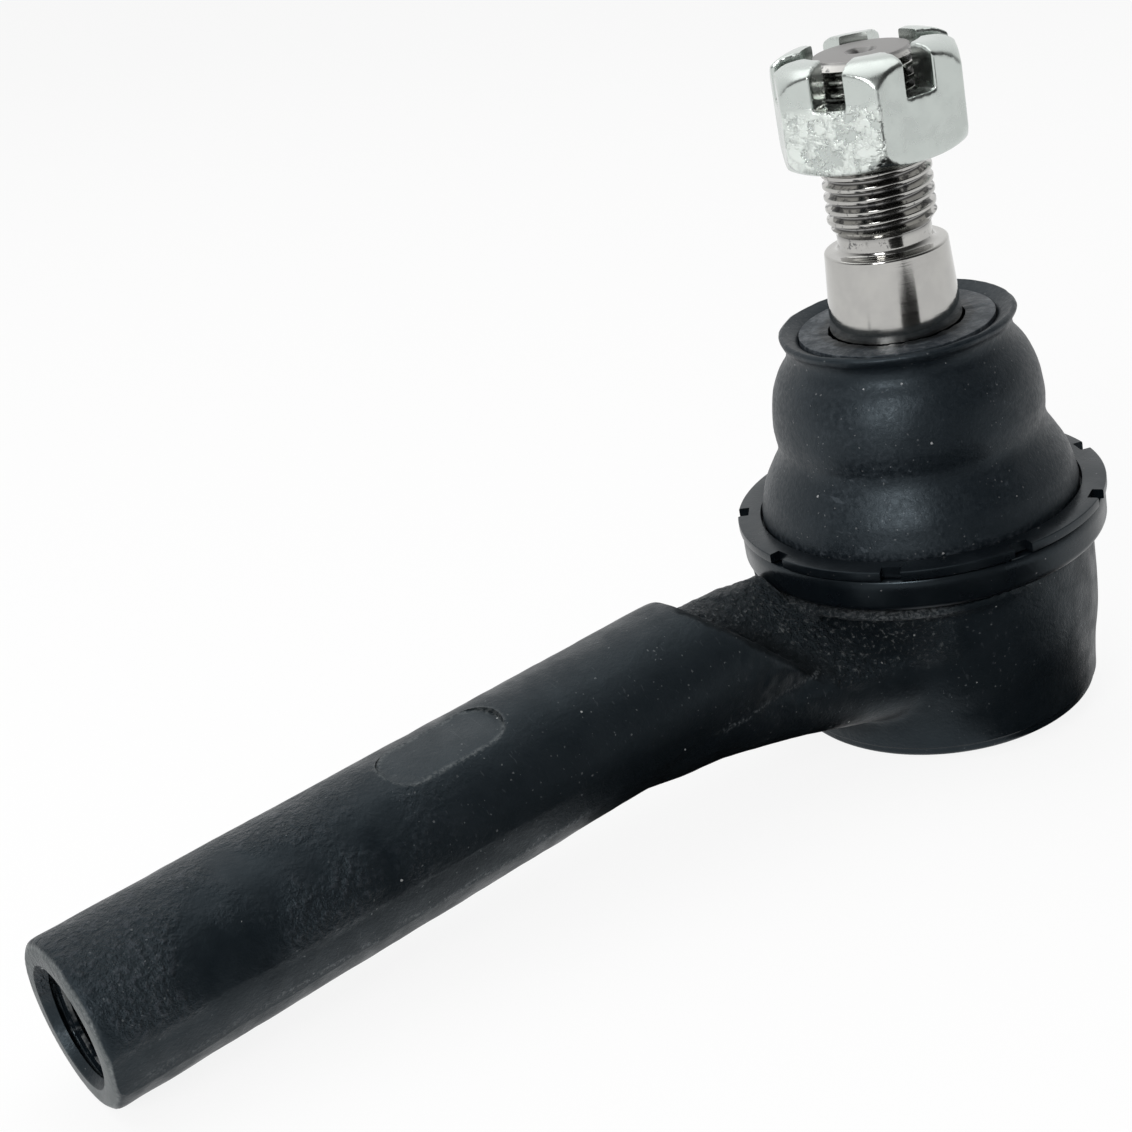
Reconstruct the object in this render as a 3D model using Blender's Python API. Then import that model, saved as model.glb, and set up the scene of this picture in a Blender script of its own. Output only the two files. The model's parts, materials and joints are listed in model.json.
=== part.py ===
"""A tie rod end: forged socket and stem, ball stud, bearings, rubber boot and castle nut.

The origin is the middle of the closing cover's outer face. +Z runs up the stud and the
stem points along -X. Sizes below are millimetres and are turned into metres by MM.
"""
import math

import bmesh
import bpy
from mathutils import Matrix, Vector

MM = 0.001

# Gap left between pieces that touch
CLEARANCE = 0.3

# Ball and bearings
BALL_RADIUS = 13.5
BEARING_WALL = 2.6
BEARING_TOP_INSET = 6.1
BEARING_FOOT_INSET = 2.5

# Disc spring and closing cover
SPRING_THICKNESS = 1.3
SPRING_HEIGHT = 3.1
SPRING_EDGE = 0.7
COVER_THICKNESS = 2.8
COVER_STEP = 1.5
COVER_FLANGE = 2.0
SEAT_DEPTH = 1.3

# Forged socket
SOCKET_WALL = 5.7
SOCKET_DRAFT = 0.9
SOCKET_FOOT_CHAMFER = 1.3
SPIGOT_WALL = 5.6
SPIGOT_HEIGHT = 4.0
MOUTH_HOLD = 2.73557
MOUTH_FLARE = 1.1
MOUTH_LIP = 2.2

# Forged stem and neck
STEM_LENGTH = 130.6
STEM_RADIUS = 9.9
STEM_HEIGHT = 22.8
STEM_END_CHAMFER = 0.9
SHOULDER_FROM_RING = 22.3
SHOULDER_RUN = 5.5
NECK_DROP = 3.6
NECK_WIDTH = 9.4
NECK_FLARE = 8.0
NECK_TOP_GAP = 0.5
NECK_FOOT = 6.0
NECK_ROOT_INSET = 1.0
NECK_ROOT_SHARE = 0.9

# Female thread of the stem, M14 x 1.5
BORE_RADIUS = 6.2
BORE_DEPTH = 48.0
BORE_COUNTERSINK = 1.1
BORE_TIP = 3.6

# Stud: neck, taper, relief and M14 x 1.5 thread. Its length runs from the ball's centre
STUD_LENGTH = 71.8
NECK_RADIUS = 6.5
STUD_NECK_FLARE = 8.0
TAPER_LENGTH = 18.6
TAPER_STEP = 0.95
TAPER_RATIO = 8.0
TAPER_EDGE = 0.3
RELIEF_LENGTH = 2.3
RELIEF_BELOW_ROOT = 0.03
THREAD_LENGTH = 22.4
THREAD_RADIUS = 7.0
THREAD_PITCH = 1.5
THREAD_DEPTH = 0.92
THREAD_FLAT = 0.25
STUD_END_CHAMFER = 1.05
CENTRE_HOLE_RADIUS = 1.8
CENTRE_HOLE_DEPTH = 3.0
COTTER_HOLE_RADIUS = 1.6
COTTER_HOLE_BELOW_TOP = 3.2

# Castle nut
NUT_ACROSS_FLATS = 22.0
NUT_HEIGHT = 13.5
NUT_PROUD = 0.7
NUT_SLOT_WIDTH = 4.2
NUT_SLOT_DEPTH = 5.4
NUT_CHAMFER = 0.9
NUT_CHAMFER_RUN = 1.3
NUT_FOOT_CHAMFER = 0.9
NUT_FOOT_CHAMFER_RUN = 1.5
NUT_BORE_CHAMFER = 0.6
NUT_TURN = -99.3

# Boot and its rings
BAND_OVERHANG = 2.0
BAND_HEIGHT = 4.3
BAND_FLOOR = 1.0
BAND_WALL = 1.6
RING_OVERHANG = 0.3
RING_THICKNESS = 1.3
RING_NOTCHES = 9
RING_NOTCH_WIDTH = 2.6
RING_NOTCH_DEPTH = 1.5
RING_NOTCH_TURN = -146.1
BOOT_WALL = 1.8
BOOT_FOOT_WALL = 2.3
BOOT_BULGE_LOW_INSET = 0.3
BOOT_BULGE_LOW_RISE = 2.0
BOOT_FLANK_RISE = 6.6
BOOT_CREASE_INSET = 3.7
BOOT_CREASE_RISE = 9.5
BOOT_BULGE_HIGH_INSET = 3.3
BOOT_BULGE_HIGH_RISE = 13.0
BOOT_SHOULDER_STEP = 1.2
BOOT_SHOULDER_DEPTH = 6.0
BOOT_NECK_INSET = 0.6
BOOT_NECK_DEPTH = 3.2
BOOT_LIP_DEPTH = 1.0
BOOT_LIP_EDGE = 0.4
BOOT_LIP_WALL = 2.3
BOOT_LIP_BELOW_TAPER = 10.0
COLLAR_WALL = 3.8875
COLLAR_HEIGHT = 3.6
COLLAR_SINK = 0.6
COLLAR_MOUTH = 1.2

# How far a cutter runs past the face that it cuts
OVERRUN = 1.0

# Facets round a full turn, and along the thread, an arc and the boot's curve
ROUND_STEPS = 56
FINE_STEPS = 40
THREAD_STEPS = 28
HOLE_STEPS = 20
ROWS_PER_PITCH = 4
SEAT_ARC_STEPS = 5
BALL_ARC_STEPS = 14
BOOT_CURVE_STEPS = 2

# The stack from the cover up to the ball, and what lies round it
BEARING_TOP_ABOVE_BALL = BALL_RADIUS - BEARING_TOP_INSET
BEARING_FOOT_BELOW_BALL = BALL_RADIUS - BEARING_FOOT_INSET
SEAT_HEIGHT = COVER_THICKNESS + CLEARANCE
BEARING_FOOT = SEAT_HEIGHT + SPRING_HEIGHT + CLEARANCE
BALL_HEIGHT = BEARING_FOOT + BEARING_FOOT_BELOW_BALL
BEARING_TOP = BALL_HEIGHT + BEARING_TOP_ABOVE_BALL
BEARING_BORE = BALL_RADIUS + CLEARANCE
BEARING_RADIUS = BEARING_BORE + BEARING_WALL
BEARING_TOP_RADIUS = math.sqrt(BEARING_RADIUS ** 2 - BEARING_TOP_ABOVE_BALL ** 2)
SOCKET_BORE = BEARING_RADIUS + CLEARANCE
SOCKET_RADIUS = SOCKET_BORE + SOCKET_WALL
LIP_UNDERSIDE = BEARING_TOP + CLEARANCE
SPIGOT_TOP = LIP_UNDERSIDE + MOUTH_LIP
SHOULDER_HEIGHT = SPIGOT_TOP - SPIGOT_HEIGHT
MOUTH_RADIUS = BEARING_TOP_RADIUS - MOUTH_HOLD
SPIGOT_RADIUS = MOUTH_RADIUS + MOUTH_FLARE + SPIGOT_WALL
SEAT_RADIUS = SOCKET_BORE + SEAT_DEPTH
COVER_RADIUS = SEAT_RADIUS - CLEARANCE
COVER_FACE_RADIUS = COVER_RADIUS - COVER_FLANGE
RIM_RADIUS = COVER_FACE_RADIUS + CLEARANCE
RIM_THICKNESS = COVER_STEP - CLEARANCE
BORE_MOUTH_RADIUS = BORE_RADIUS + BORE_COUNTERSINK

# The stud from its end down, and the nut on it
STUD_TOP = BALL_HEIGHT + STUD_LENGTH
THREAD_FOOT = STUD_TOP - THREAD_LENGTH
THREAD_ROOT = THREAD_RADIUS - THREAD_DEPTH
RELIEF_RADIUS = THREAD_ROOT - RELIEF_BELOW_ROOT
TAPER_SLOPE = 0.5 / TAPER_RATIO
TAPER_TOP_HEIGHT = THREAD_FOOT - RELIEF_LENGTH
TAPER_TOP_RADIUS = THREAD_RADIUS + TAPER_STEP
TAPER_FOOT_HEIGHT = TAPER_TOP_HEIGHT - TAPER_LENGTH
TAPER_FOOT_RADIUS = TAPER_TOP_RADIUS + TAPER_LENGTH * TAPER_SLOPE
NUT_BORE = THREAD_RADIUS + CLEARANCE
NUT_TOP = STUD_TOP + NUT_PROUD
NUT_FOOT = NUT_TOP - NUT_HEIGHT

# The boot from its foot up, and its rings
BAND_RADIUS = SOCKET_RADIUS + BAND_OVERHANG
BAND_FOOT = SHOULDER_HEIGHT + CLEARANCE
BAND_TOP = BAND_FOOT + BAND_HEIGHT
RING_RADIUS = BAND_RADIUS + RING_OVERHANG
RING_FOOT = BAND_TOP + CLEARANCE
RING_TOP = RING_FOOT + RING_THICKNESS
SHOULDER_X = RING_RADIUS + SHOULDER_FROM_RING
BOOT_FOOT_RADIUS = SPIGOT_RADIUS + CLEARANCE + BOOT_FOOT_WALL
BOOT_BULGE_LOW = BOOT_FOOT_RADIUS - BOOT_BULGE_LOW_INSET
BOOT_CREASE = BOOT_FOOT_RADIUS - BOOT_CREASE_INSET
BOOT_BULGE_HIGH = BOOT_FOOT_RADIUS - BOOT_BULGE_HIGH_INSET
BOOT_LIP_HEIGHT = TAPER_TOP_HEIGHT - BOOT_LIP_BELOW_TAPER
COLLAR_TOP = BOOT_LIP_HEIGHT - COLLAR_SINK
COLLAR_FOOT = COLLAR_TOP - COLLAR_HEIGHT
COLLAR_BORE = TAPER_TOP_RADIUS + (TAPER_TOP_HEIGHT - COLLAR_TOP) * TAPER_SLOPE + CLEARANCE
COLLAR_RADIUS = COLLAR_BORE + COLLAR_WALL
BOOT_LIP = COLLAR_RADIUS + CLEARANCE + BOOT_LIP_WALL
BOOT_NECK = BOOT_LIP - BOOT_NECK_INSET
BOOT_SHOULDER = BOOT_LIP + BOOT_SHOULDER_STEP


def clear_scene():
    """Remove whatever the open file holds."""
    for item in list(bpy.data.objects):
        bpy.data.objects.remove(item, do_unlink=True)


def finish(name, color, roughness, metallic):
    """A plain Principled material."""
    made = bpy.data.materials.new(name)
    made.use_nodes = True
    shader = made.node_tree.nodes["Principled BSDF"]
    shader.inputs["Base Color"].default_value = (*color, 1.0)
    shader.inputs["Roughness"].default_value = roughness
    shader.inputs["Metallic"].default_value = metallic
    return made


def add_object(name, mesh, material=None, parent=None):
    """Put a mesh into the scene as a named object, under its parent if it has one."""
    made = bpy.data.objects.new(name, mesh)
    bpy.context.collection.objects.link(made)
    if material:
        mesh.materials.append(material)
    if parent:
        made.parent = parent
    return made


def add_empty(name, height, parent=None):
    """A pivot on the stud's axis, at a height over the parent's own pivot."""
    pivot = bpy.data.objects.new(name, None)
    bpy.context.collection.objects.link(pivot)
    pivot.location = (0, 0, height * MM)
    pivot.parent = parent
    return pivot


def drop(mesh, height):
    """Shift a mesh that was drawn at its place down to its pivot's own height."""
    mesh.transform(Matrix.Translation((0, 0, -height * MM)))


def smooth(mesh):
    """Shade round faces smooth and keep real edges sharp."""
    mesh.shade_smooth()
    mesh.set_sharp_from_angle(angle=math.radians(30))


def evaluated_mesh(item):
    """The mesh that an object's modifiers give, and the object gone."""
    bpy.context.view_layer.update()
    graph = bpy.context.evaluated_depsgraph_get()
    mesh = bpy.data.meshes.new_from_object(item.evaluated_get(graph))
    bpy.data.objects.remove(item, do_unlink=True)
    return mesh


def turned(name, outline, steps):
    """Turn an outline of (radius, height) round Z. It runs down its outer side."""
    mesh = bpy.data.meshes.new(name)
    points = [(radius * MM, 0, height * MM) for radius, height in outline]
    edges = [(i, i + 1) for i in range(len(points) - 1)]
    ring = outline[0][0] > 0 and outline[-1][0] > 0
    if ring:
        edges.append((len(points) - 1, 0))
    mesh.from_pydata(points, edges, [])
    blank = add_object(name + "_outline", mesh)
    screw = blank.modifiers.new("turn", "SCREW")
    screw.steps = steps
    screw.render_steps = steps
    screw.use_merge_vertices = True
    screw.merge_threshold = 0.00001
    return evaluated_mesh(blank)


def box(name, size, place, turn=0.0):
    """A block, for a cutter, with its size and centre in millimetres."""
    shape = bmesh.new()
    bmesh.ops.create_cube(shape, size=1.0)
    place_matrix = Matrix.Rotation(turn, 4, "Z") @ Matrix.Translation(Vector(place) * MM)
    bmesh.ops.transform(shape, matrix=place_matrix @ Matrix.Diagonal((*[s * MM for s in size], 1)),
                        verts=shape.verts)
    mesh = bpy.data.meshes.new(name)
    shape.to_mesh(mesh)
    shape.free()
    return mesh


def combine(mesh, tools, operation):
    """Cut, join or intersect a mesh with each tool mesh in turn."""
    blank = add_object("blank", mesh)
    helpers = []
    for tool in tools:
        helper = add_object("cutter", tool)
        helper.hide_render = True
        helper.display_type = "WIRE"
        helpers.append(helper)
        step = blank.modifiers.new("combine", "BOOLEAN")
        step.operation = operation
        step.object = helper
    result = evaluated_mesh(blank)
    for helper in helpers:
        bpy.data.objects.remove(helper, do_unlink=True)
    return result


def arc(radius, centre_height, start, end, count):
    """Points on a circle about the axis, by angle above the equator in degrees."""
    points = []
    for i in range(count + 1):
        angle = math.radians(start + (end - start) * i / count)
        points.append((radius * math.cos(angle), centre_height + radius * math.sin(angle)))
    return points


def latitude(radius, height):
    """Angle above the equator, in degrees, at a height over a sphere's centre."""
    return math.degrees(math.asin(height / radius))


def curve_through(points, count):
    """A smooth open curve through a few (radius, height) points."""
    result = []
    last = len(points) - 1
    for i in range(last):
        before = points[max(i - 1, 0)]
        start, end = points[i], points[i + 1]
        after = points[min(i + 2, last)]
        for k in range(count):
            t = k / count
            blend = []
            for a, b, c, d in zip(before, start, end, after):
                blend.append(0.5 * (2 * b + (c - a) * t + (2 * a - 5 * b + 4 * c - d) * t ** 2
                                    + (3 * b - a - 3 * c + d) * t ** 3))
            result.append(tuple(blend))
    result.append(points[last])
    return result


def loft(name, sections, count):
    """Bridge upright oval sections (x, middle height, half width, half height) along X."""
    shape = bmesh.new()
    loops = []
    for x, middle, width, height in sections:
        verts = []
        for i in range(count):
            angle = 2 * math.pi * i / count
            place = (x, width * math.sin(angle), middle + height * math.cos(angle))
            verts.append(shape.verts.new(Vector(place) * MM))
        edges = [shape.edges.new((verts[i], verts[(i + 1) % count])) for i in range(count)]
        loops.append(edges)
    for first, second in zip(loops, loops[1:]):
        bmesh.ops.bridge_loops(shape, edges=first + second)
    for ends in (loops[0], loops[-1]):
        bmesh.ops.contextual_create(shape, geom=ends)
    bmesh.ops.recalc_face_normals(shape, faces=shape.faces)
    mesh = bpy.data.meshes.new(name)
    shape.to_mesh(mesh)
    shape.free()
    return mesh


def socket_blank():
    """The round socket: spigot, mouth, ball seat, bore and the rolled-in foot."""
    foot_radius = SOCKET_RADIUS - SOCKET_DRAFT
    outline = [
        (MOUTH_RADIUS + MOUTH_FLARE, SPIGOT_TOP),
        (SPIGOT_RADIUS, SPIGOT_TOP),
        (SPIGOT_RADIUS, SHOULDER_HEIGHT),
        (SOCKET_RADIUS, SHOULDER_HEIGHT),
        (foot_radius, SOCKET_FOOT_CHAMFER),
        (foot_radius - SOCKET_FOOT_CHAMFER, 0),
        (RIM_RADIUS, 0),
        (RIM_RADIUS, RIM_THICKNESS),
        (SEAT_RADIUS, RIM_THICKNESS),
        (SEAT_RADIUS, SEAT_HEIGHT),
        (SOCKET_BORE, SEAT_HEIGHT),
    ]
    top = latitude(SOCKET_BORE, LIP_UNDERSIDE - BALL_HEIGHT)
    outline += arc(SOCKET_BORE, BALL_HEIGHT, 0, top, SEAT_ARC_STEPS)
    outline.append((MOUTH_RADIUS, LIP_UNDERSIDE))
    return turned("socket", outline, ROUND_STEPS)


def stem_blank():
    """The round stem, its slanted shoulder and the lower neck that runs into the socket."""
    low_top = SHOULDER_HEIGHT - NECK_TOP_GAP
    low_middle = (low_top + NECK_FOOT) / 2
    low_height = (low_top - NECK_FOOT) / 2
    after_shoulder = STEM_RADIUS - NECK_DROP / 4
    flared = NECK_WIDTH + NECK_FLARE
    root = (flared * NECK_ROOT_SHARE, low_height * NECK_ROOT_SHARE)
    neck_start = SHOULDER_X - SHOULDER_RUN
    under_flange = RING_RADIUS + CLEARANCE
    sections = [
        (-STEM_LENGTH, STEM_HEIGHT, STEM_RADIUS - STEM_END_CHAMFER, STEM_RADIUS - STEM_END_CHAMFER),
        (-STEM_LENGTH + STEM_END_CHAMFER, STEM_HEIGHT, STEM_RADIUS, STEM_RADIUS),
        (-SHOULDER_X, STEM_HEIGHT, STEM_RADIUS, STEM_RADIUS),
        (-neck_start, STEM_HEIGHT - NECK_DROP, NECK_WIDTH, after_shoulder),
        (-under_flange, low_middle, NECK_WIDTH, low_height),
        (-SOCKET_RADIUS, low_middle, flared, low_height),
        (-SEAT_RADIUS - NECK_ROOT_INSET, low_middle, *root),
    ]
    return loft("stem", sections, FINE_STEPS)


def along_stem(mesh):
    """Lay a mesh that was turned round Z along the stem, with its top at the stem's end."""
    lay = Matrix.Rotation(math.radians(-90), 4, "Y")
    mesh.transform(Matrix.Translation((0, 0, STEM_HEIGHT * MM)) @ lay)


def bore_cutter():
    """The stem's tapped hole: countersunk mouth, straight bore and drill point."""
    past = STEM_LENGTH + OVERRUN
    mouth = BORE_MOUTH_RADIUS - BORE_RADIUS
    outline = [
        (0, past),
        (BORE_MOUTH_RADIUS, past),
        (BORE_MOUTH_RADIUS, STEM_LENGTH),
        (BORE_RADIUS, STEM_LENGTH - mouth),
        (BORE_RADIUS, STEM_LENGTH - BORE_DEPTH),
        (0, STEM_LENGTH - BORE_DEPTH - BORE_TIP),
    ]
    mesh = turned("bore", outline, FINE_STEPS)
    along_stem(mesh)
    return mesh


def build_housing():
    black = finish("black_coating", (0.02, 0.022, 0.025), 0.45, 0.3)
    joined = combine(socket_blank(), [stem_blank()], "UNION")
    mesh = combine(joined, [bore_cutter()], "DIFFERENCE")
    smooth(mesh)
    add_object("housing", mesh, black)


def build_bearings():
    plastic = finish("bearing_plastic", (0.75, 0.74, 0.7), 0.4, 0.0)
    split = CLEARANCE / 2
    top = BEARING_TOP - BALL_HEIGHT
    outer_start = latitude(BEARING_RADIUS, split)
    outer_end = latitude(BEARING_RADIUS, top)
    inner_start = latitude(BEARING_BORE, top)
    inner_end = latitude(BEARING_BORE, split)
    upper = arc(BEARING_RADIUS, BALL_HEIGHT, outer_end, outer_start, SEAT_ARC_STEPS)
    upper += arc(BEARING_BORE, BALL_HEIGHT, inner_end, inner_start, SEAT_ARC_STEPS)
    low = BEARING_FOOT - BALL_HEIGHT
    lower = [(BEARING_RADIUS, BALL_HEIGHT - split), (BEARING_RADIUS, BEARING_FOOT)]
    lower += arc(BEARING_BORE, BALL_HEIGHT, latitude(BEARING_BORE, low), -inner_end, SEAT_ARC_STEPS)
    for name, outline in (("upper_bearing", upper), ("lower_bearing", lower)):
        mesh = turned(name, outline, FINE_STEPS)
        smooth(mesh)
        add_object(name, mesh, plastic)


def build_spring():
    steel = finish("spring_steel", (0.3, 0.3, 0.32), 0.35, 1.0)
    outer = SOCKET_BORE - SPRING_EDGE
    inner = math.sqrt(BEARING_BORE ** 2 - BEARING_FOOT_BELOW_BALL ** 2) + SPRING_EDGE
    foot = COVER_THICKNESS + CLEARANCE
    top = BEARING_FOOT - CLEARANCE
    outline = [
        (inner, top),
        (outer, foot + SPRING_THICKNESS),
        (outer, foot),
        (inner, top - SPRING_THICKNESS),
    ]
    mesh = turned("preload_spring", outline, FINE_STEPS)
    smooth(mesh)
    add_object("preload_spring", mesh, steel)


def build_cover():
    steel = finish("cover_steel", (0.04, 0.042, 0.045), 0.4, 0.6)
    outline = [
        (0, COVER_THICKNESS),
        (COVER_RADIUS, COVER_THICKNESS),
        (COVER_RADIUS, COVER_STEP),
        (COVER_FACE_RADIUS, COVER_STEP),
        (COVER_FACE_RADIUS, 0),
        (0, 0),
    ]
    mesh = turned("end_cover", outline, ROUND_STEPS)
    smooth(mesh)
    add_object("end_cover", mesh, steel)


def build_boot_rings():
    black = finish("ring_black", (0.015, 0.016, 0.018), 0.3, 0.2)
    inner = SPIGOT_RADIUS + CLEARANCE
    wall_inner = BAND_RADIUS - BAND_WALL
    band = [
        (wall_inner, BAND_TOP),
        (BAND_RADIUS, BAND_TOP),
        (BAND_RADIUS, BAND_FOOT),
        (inner, BAND_FOOT),
        (inner, BAND_FOOT + BAND_FLOOR),
        (wall_inner, BAND_FOOT + BAND_FLOOR),
    ]
    mesh = turned("boot_base_band", band, ROUND_STEPS)
    smooth(mesh)
    add_object("boot_base_band", mesh, black)

    ring_inner = BOOT_FOOT_RADIUS + CLEARANCE
    ring = [
        (ring_inner, RING_TOP),
        (RING_RADIUS, RING_TOP),
        (RING_RADIUS, RING_FOOT),
        (ring_inner, RING_FOOT),
    ]
    notches = []
    for i in range(RING_NOTCHES):
        turn = math.radians(RING_NOTCH_TURN + 360 * i / RING_NOTCHES)
        size = (2 * RING_NOTCH_DEPTH, RING_NOTCH_WIDTH, 3 * RING_THICKNESS)
        notches.append(box("notch", size, (RING_RADIUS, 0, RING_FOOT), turn))
    mesh = combine(turned("boot_retaining_ring", ring, ROUND_STEPS), notches, "DIFFERENCE")
    smooth(mesh)
    add_object("boot_retaining_ring", mesh, black)


def boot_outside():
    """The boot's outer side from its lip down to its foot."""
    side = [
        (BOOT_LIP, BOOT_LIP_HEIGHT - BOOT_LIP_DEPTH),
        (BOOT_NECK, BOOT_LIP_HEIGHT - BOOT_NECK_DEPTH),
        (BOOT_SHOULDER, BOOT_LIP_HEIGHT - BOOT_SHOULDER_DEPTH),
        (BOOT_BULGE_HIGH, RING_TOP + BOOT_BULGE_HIGH_RISE),
        (BOOT_CREASE, RING_TOP + BOOT_CREASE_RISE),
        ((BOOT_CREASE + BOOT_BULGE_LOW) / 2, RING_TOP + BOOT_FLANK_RISE),
        (BOOT_BULGE_LOW, RING_TOP + BOOT_BULGE_LOW_RISE),
        (BOOT_FOOT_RADIUS, RING_TOP + CLEARANCE),
    ]
    return curve_through(side, BOOT_CURVE_STEPS)


def build_boot(pivot):
    rubber = finish("rubber", (0.012, 0.012, 0.013), 0.5, 0.0)
    outside = boot_outside()
    lip_inner = BOOT_LIP - BOOT_LIP_WALL
    bead_top = RING_FOOT - CLEARANCE
    bead_foot = BAND_FOOT + BAND_FLOOR + CLEARANCE
    bead_outer = BAND_RADIUS - BAND_WALL - CLEARANCE
    bead_inner = SPIGOT_RADIUS + CLEARANCE
    outline = [(lip_inner, BOOT_LIP_HEIGHT), (BOOT_LIP - BOOT_LIP_EDGE, BOOT_LIP_HEIGHT)]
    outline += outside
    outline += [
        (BOOT_FOOT_RADIUS, bead_top),
        (bead_outer, bead_top),
        (bead_outer, bead_foot),
        (bead_inner, bead_foot),
        (bead_inner, SPIGOT_TOP + CLEARANCE),
    ]
    shelf = COLLAR_FOOT - CLEARANCE
    for radius, height in reversed(outside):
        if SPIGOT_TOP + 2 * BOOT_WALL < height < shelf - BOOT_WALL:
            outline.append((radius - BOOT_WALL, height))
    shelf_inner = COLLAR_RADIUS - BOOT_WALL
    outline += [
        (shelf_inner, shelf - BOOT_WALL),
        (shelf_inner, shelf),
        (lip_inner, shelf),
    ]
    mesh = turned("boot", outline, ROUND_STEPS)
    smooth(mesh)
    drop(mesh, BALL_HEIGHT)
    add_object("boot", mesh, rubber, pivot)


def build_collar(pivot):
    grey = finish("collar_rubber", (0.04, 0.042, 0.045), 0.6, 0.0)
    foot_bore = COLLAR_BORE + COLLAR_HEIGHT * TAPER_SLOPE
    outline = [
        (COLLAR_BORE + COLLAR_MOUTH, COLLAR_TOP),
        (COLLAR_RADIUS, COLLAR_TOP),
        (COLLAR_RADIUS, COLLAR_FOOT),
        (foot_bore, COLLAR_FOOT),
        (COLLAR_BORE, COLLAR_TOP - COLLAR_MOUTH),
    ]
    mesh = turned("boot_collar_ring", outline, FINE_STEPS)
    smooth(mesh)
    drop(mesh, BALL_HEIGHT)
    add_object("boot_collar_ring", mesh, grey, pivot)


def thread_radius(angle, height):
    """Radius of the M14 thread's flank at an angle and a height."""
    turn = (height - THREAD_FOOT) / THREAD_PITCH - angle / (2 * math.pi)
    away = abs((turn % 1.0) - 0.5) * 2
    fade_top = min(1.0, max(0.0, (STUD_TOP - STUD_END_CHAMFER - height) / THREAD_PITCH))
    fade_foot = min(1.0, max(0.0, (height - THREAD_FOOT) / THREAD_PITCH))
    depth = THREAD_DEPTH * min(1.0, max(0.0, away * (1 + 2 * THREAD_FLAT) - THREAD_FLAT))
    base = THREAD_RADIUS - depth
    end = THREAD_RADIUS - STUD_END_CHAMFER
    base = end + (base - end) * fade_top
    return RELIEF_RADIUS + (base - RELIEF_RADIUS) * fade_foot


def stud_rows():
    """Rows of the stud from its end to the ball's foot, as (height, radius or None in the thread)."""
    rows = [(STUD_TOP, THREAD_RADIUS - STUD_END_CHAMFER)]
    count = int((STUD_TOP - STUD_END_CHAMFER - THREAD_FOOT) / THREAD_PITCH * ROWS_PER_PITCH)
    for i in range(count + 1):
        height = STUD_TOP - STUD_END_CHAMFER
        height -= (height - THREAD_FOOT) * i / count
        rows.append((height, None))
    join = math.sqrt(BALL_RADIUS ** 2 - NECK_RADIUS ** 2)
    rows += [
        (TAPER_TOP_HEIGHT, RELIEF_RADIUS),
        (TAPER_TOP_HEIGHT, TAPER_TOP_RADIUS - TAPER_EDGE),
        (TAPER_TOP_HEIGHT - TAPER_EDGE, TAPER_TOP_RADIUS),
        (TAPER_FOOT_HEIGHT, TAPER_FOOT_RADIUS),
        (TAPER_FOOT_HEIGHT - STUD_NECK_FLARE, NECK_RADIUS),
        (BALL_HEIGHT + join, NECK_RADIUS),
    ]
    start = latitude(BALL_RADIUS, join)
    for radius, height in arc(BALL_RADIUS, BALL_HEIGHT, start, -90, BALL_ARC_STEPS)[1:-1]:
        rows.append((height, radius))
    return rows


def stud_blank():
    """The stud as rings of points, with the thread's helix in their radii."""
    shape = bmesh.new()
    loops = []
    for height, radius in stud_rows():
        verts = []
        for i in range(THREAD_STEPS):
            angle = 2 * math.pi * i / THREAD_STEPS
            reach = thread_radius(angle, height) if radius is None else radius
            place = (reach * math.cos(angle), reach * math.sin(angle), height)
            verts.append(shape.verts.new(Vector(place) * MM))
        loops.append(verts)
    for upper, lower in zip(loops, loops[1:]):
        for i in range(THREAD_STEPS):
            k = (i + 1) % THREAD_STEPS
            shape.faces.new((upper[i], lower[i], lower[k], upper[k]))
    shape.faces.new(loops[0])
    pole = shape.verts.new((0, 0, (BALL_HEIGHT - BALL_RADIUS) * MM))
    for i in range(THREAD_STEPS):
        shape.faces.new((loops[-1][i], pole, loops[-1][(i + 1) % THREAD_STEPS]))
    bmesh.ops.recalc_face_normals(shape, faces=shape.faces)
    mesh = bpy.data.meshes.new("stud")
    shape.to_mesh(mesh)
    shape.free()
    return mesh


def cotter_cutter():
    """The cross hole, square to the stud and in line with one pair of nut slots."""
    reach = 2 * THREAD_RADIUS
    outline = [(0, reach), (COTTER_HOLE_RADIUS, reach), (COTTER_HOLE_RADIUS, -reach), (0, -reach)]
    mesh = turned("cotter_hole", outline, HOLE_STEPS)
    turn = Matrix.Rotation(math.radians(NUT_TURN), 4, "Z") @ Matrix.Rotation(math.radians(90), 4, "Y")
    place = Matrix.Translation((0, 0, (STUD_TOP - COTTER_HOLE_BELOW_TOP) * MM))
    mesh.transform(place @ turn)
    return mesh


def centre_cutter():
    """The lathe centre in the stud's end."""
    outline = [
        (0, STUD_TOP + OVERRUN),
        (CENTRE_HOLE_RADIUS, STUD_TOP + OVERRUN),
        (CENTRE_HOLE_RADIUS, STUD_TOP),
        (0, STUD_TOP - CENTRE_HOLE_DEPTH),
    ]
    return turned("centre_hole", outline, HOLE_STEPS)


def build_stud(pivot):
    steel = finish("polished_steel", (0.55, 0.54, 0.52), 0.22, 1.0)
    mesh = combine(stud_blank(), [centre_cutter(), cotter_cutter()], "DIFFERENCE")
    smooth(mesh)
    drop(mesh, BALL_HEIGHT)
    add_object("ball_stud", mesh, steel, pivot)


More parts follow.
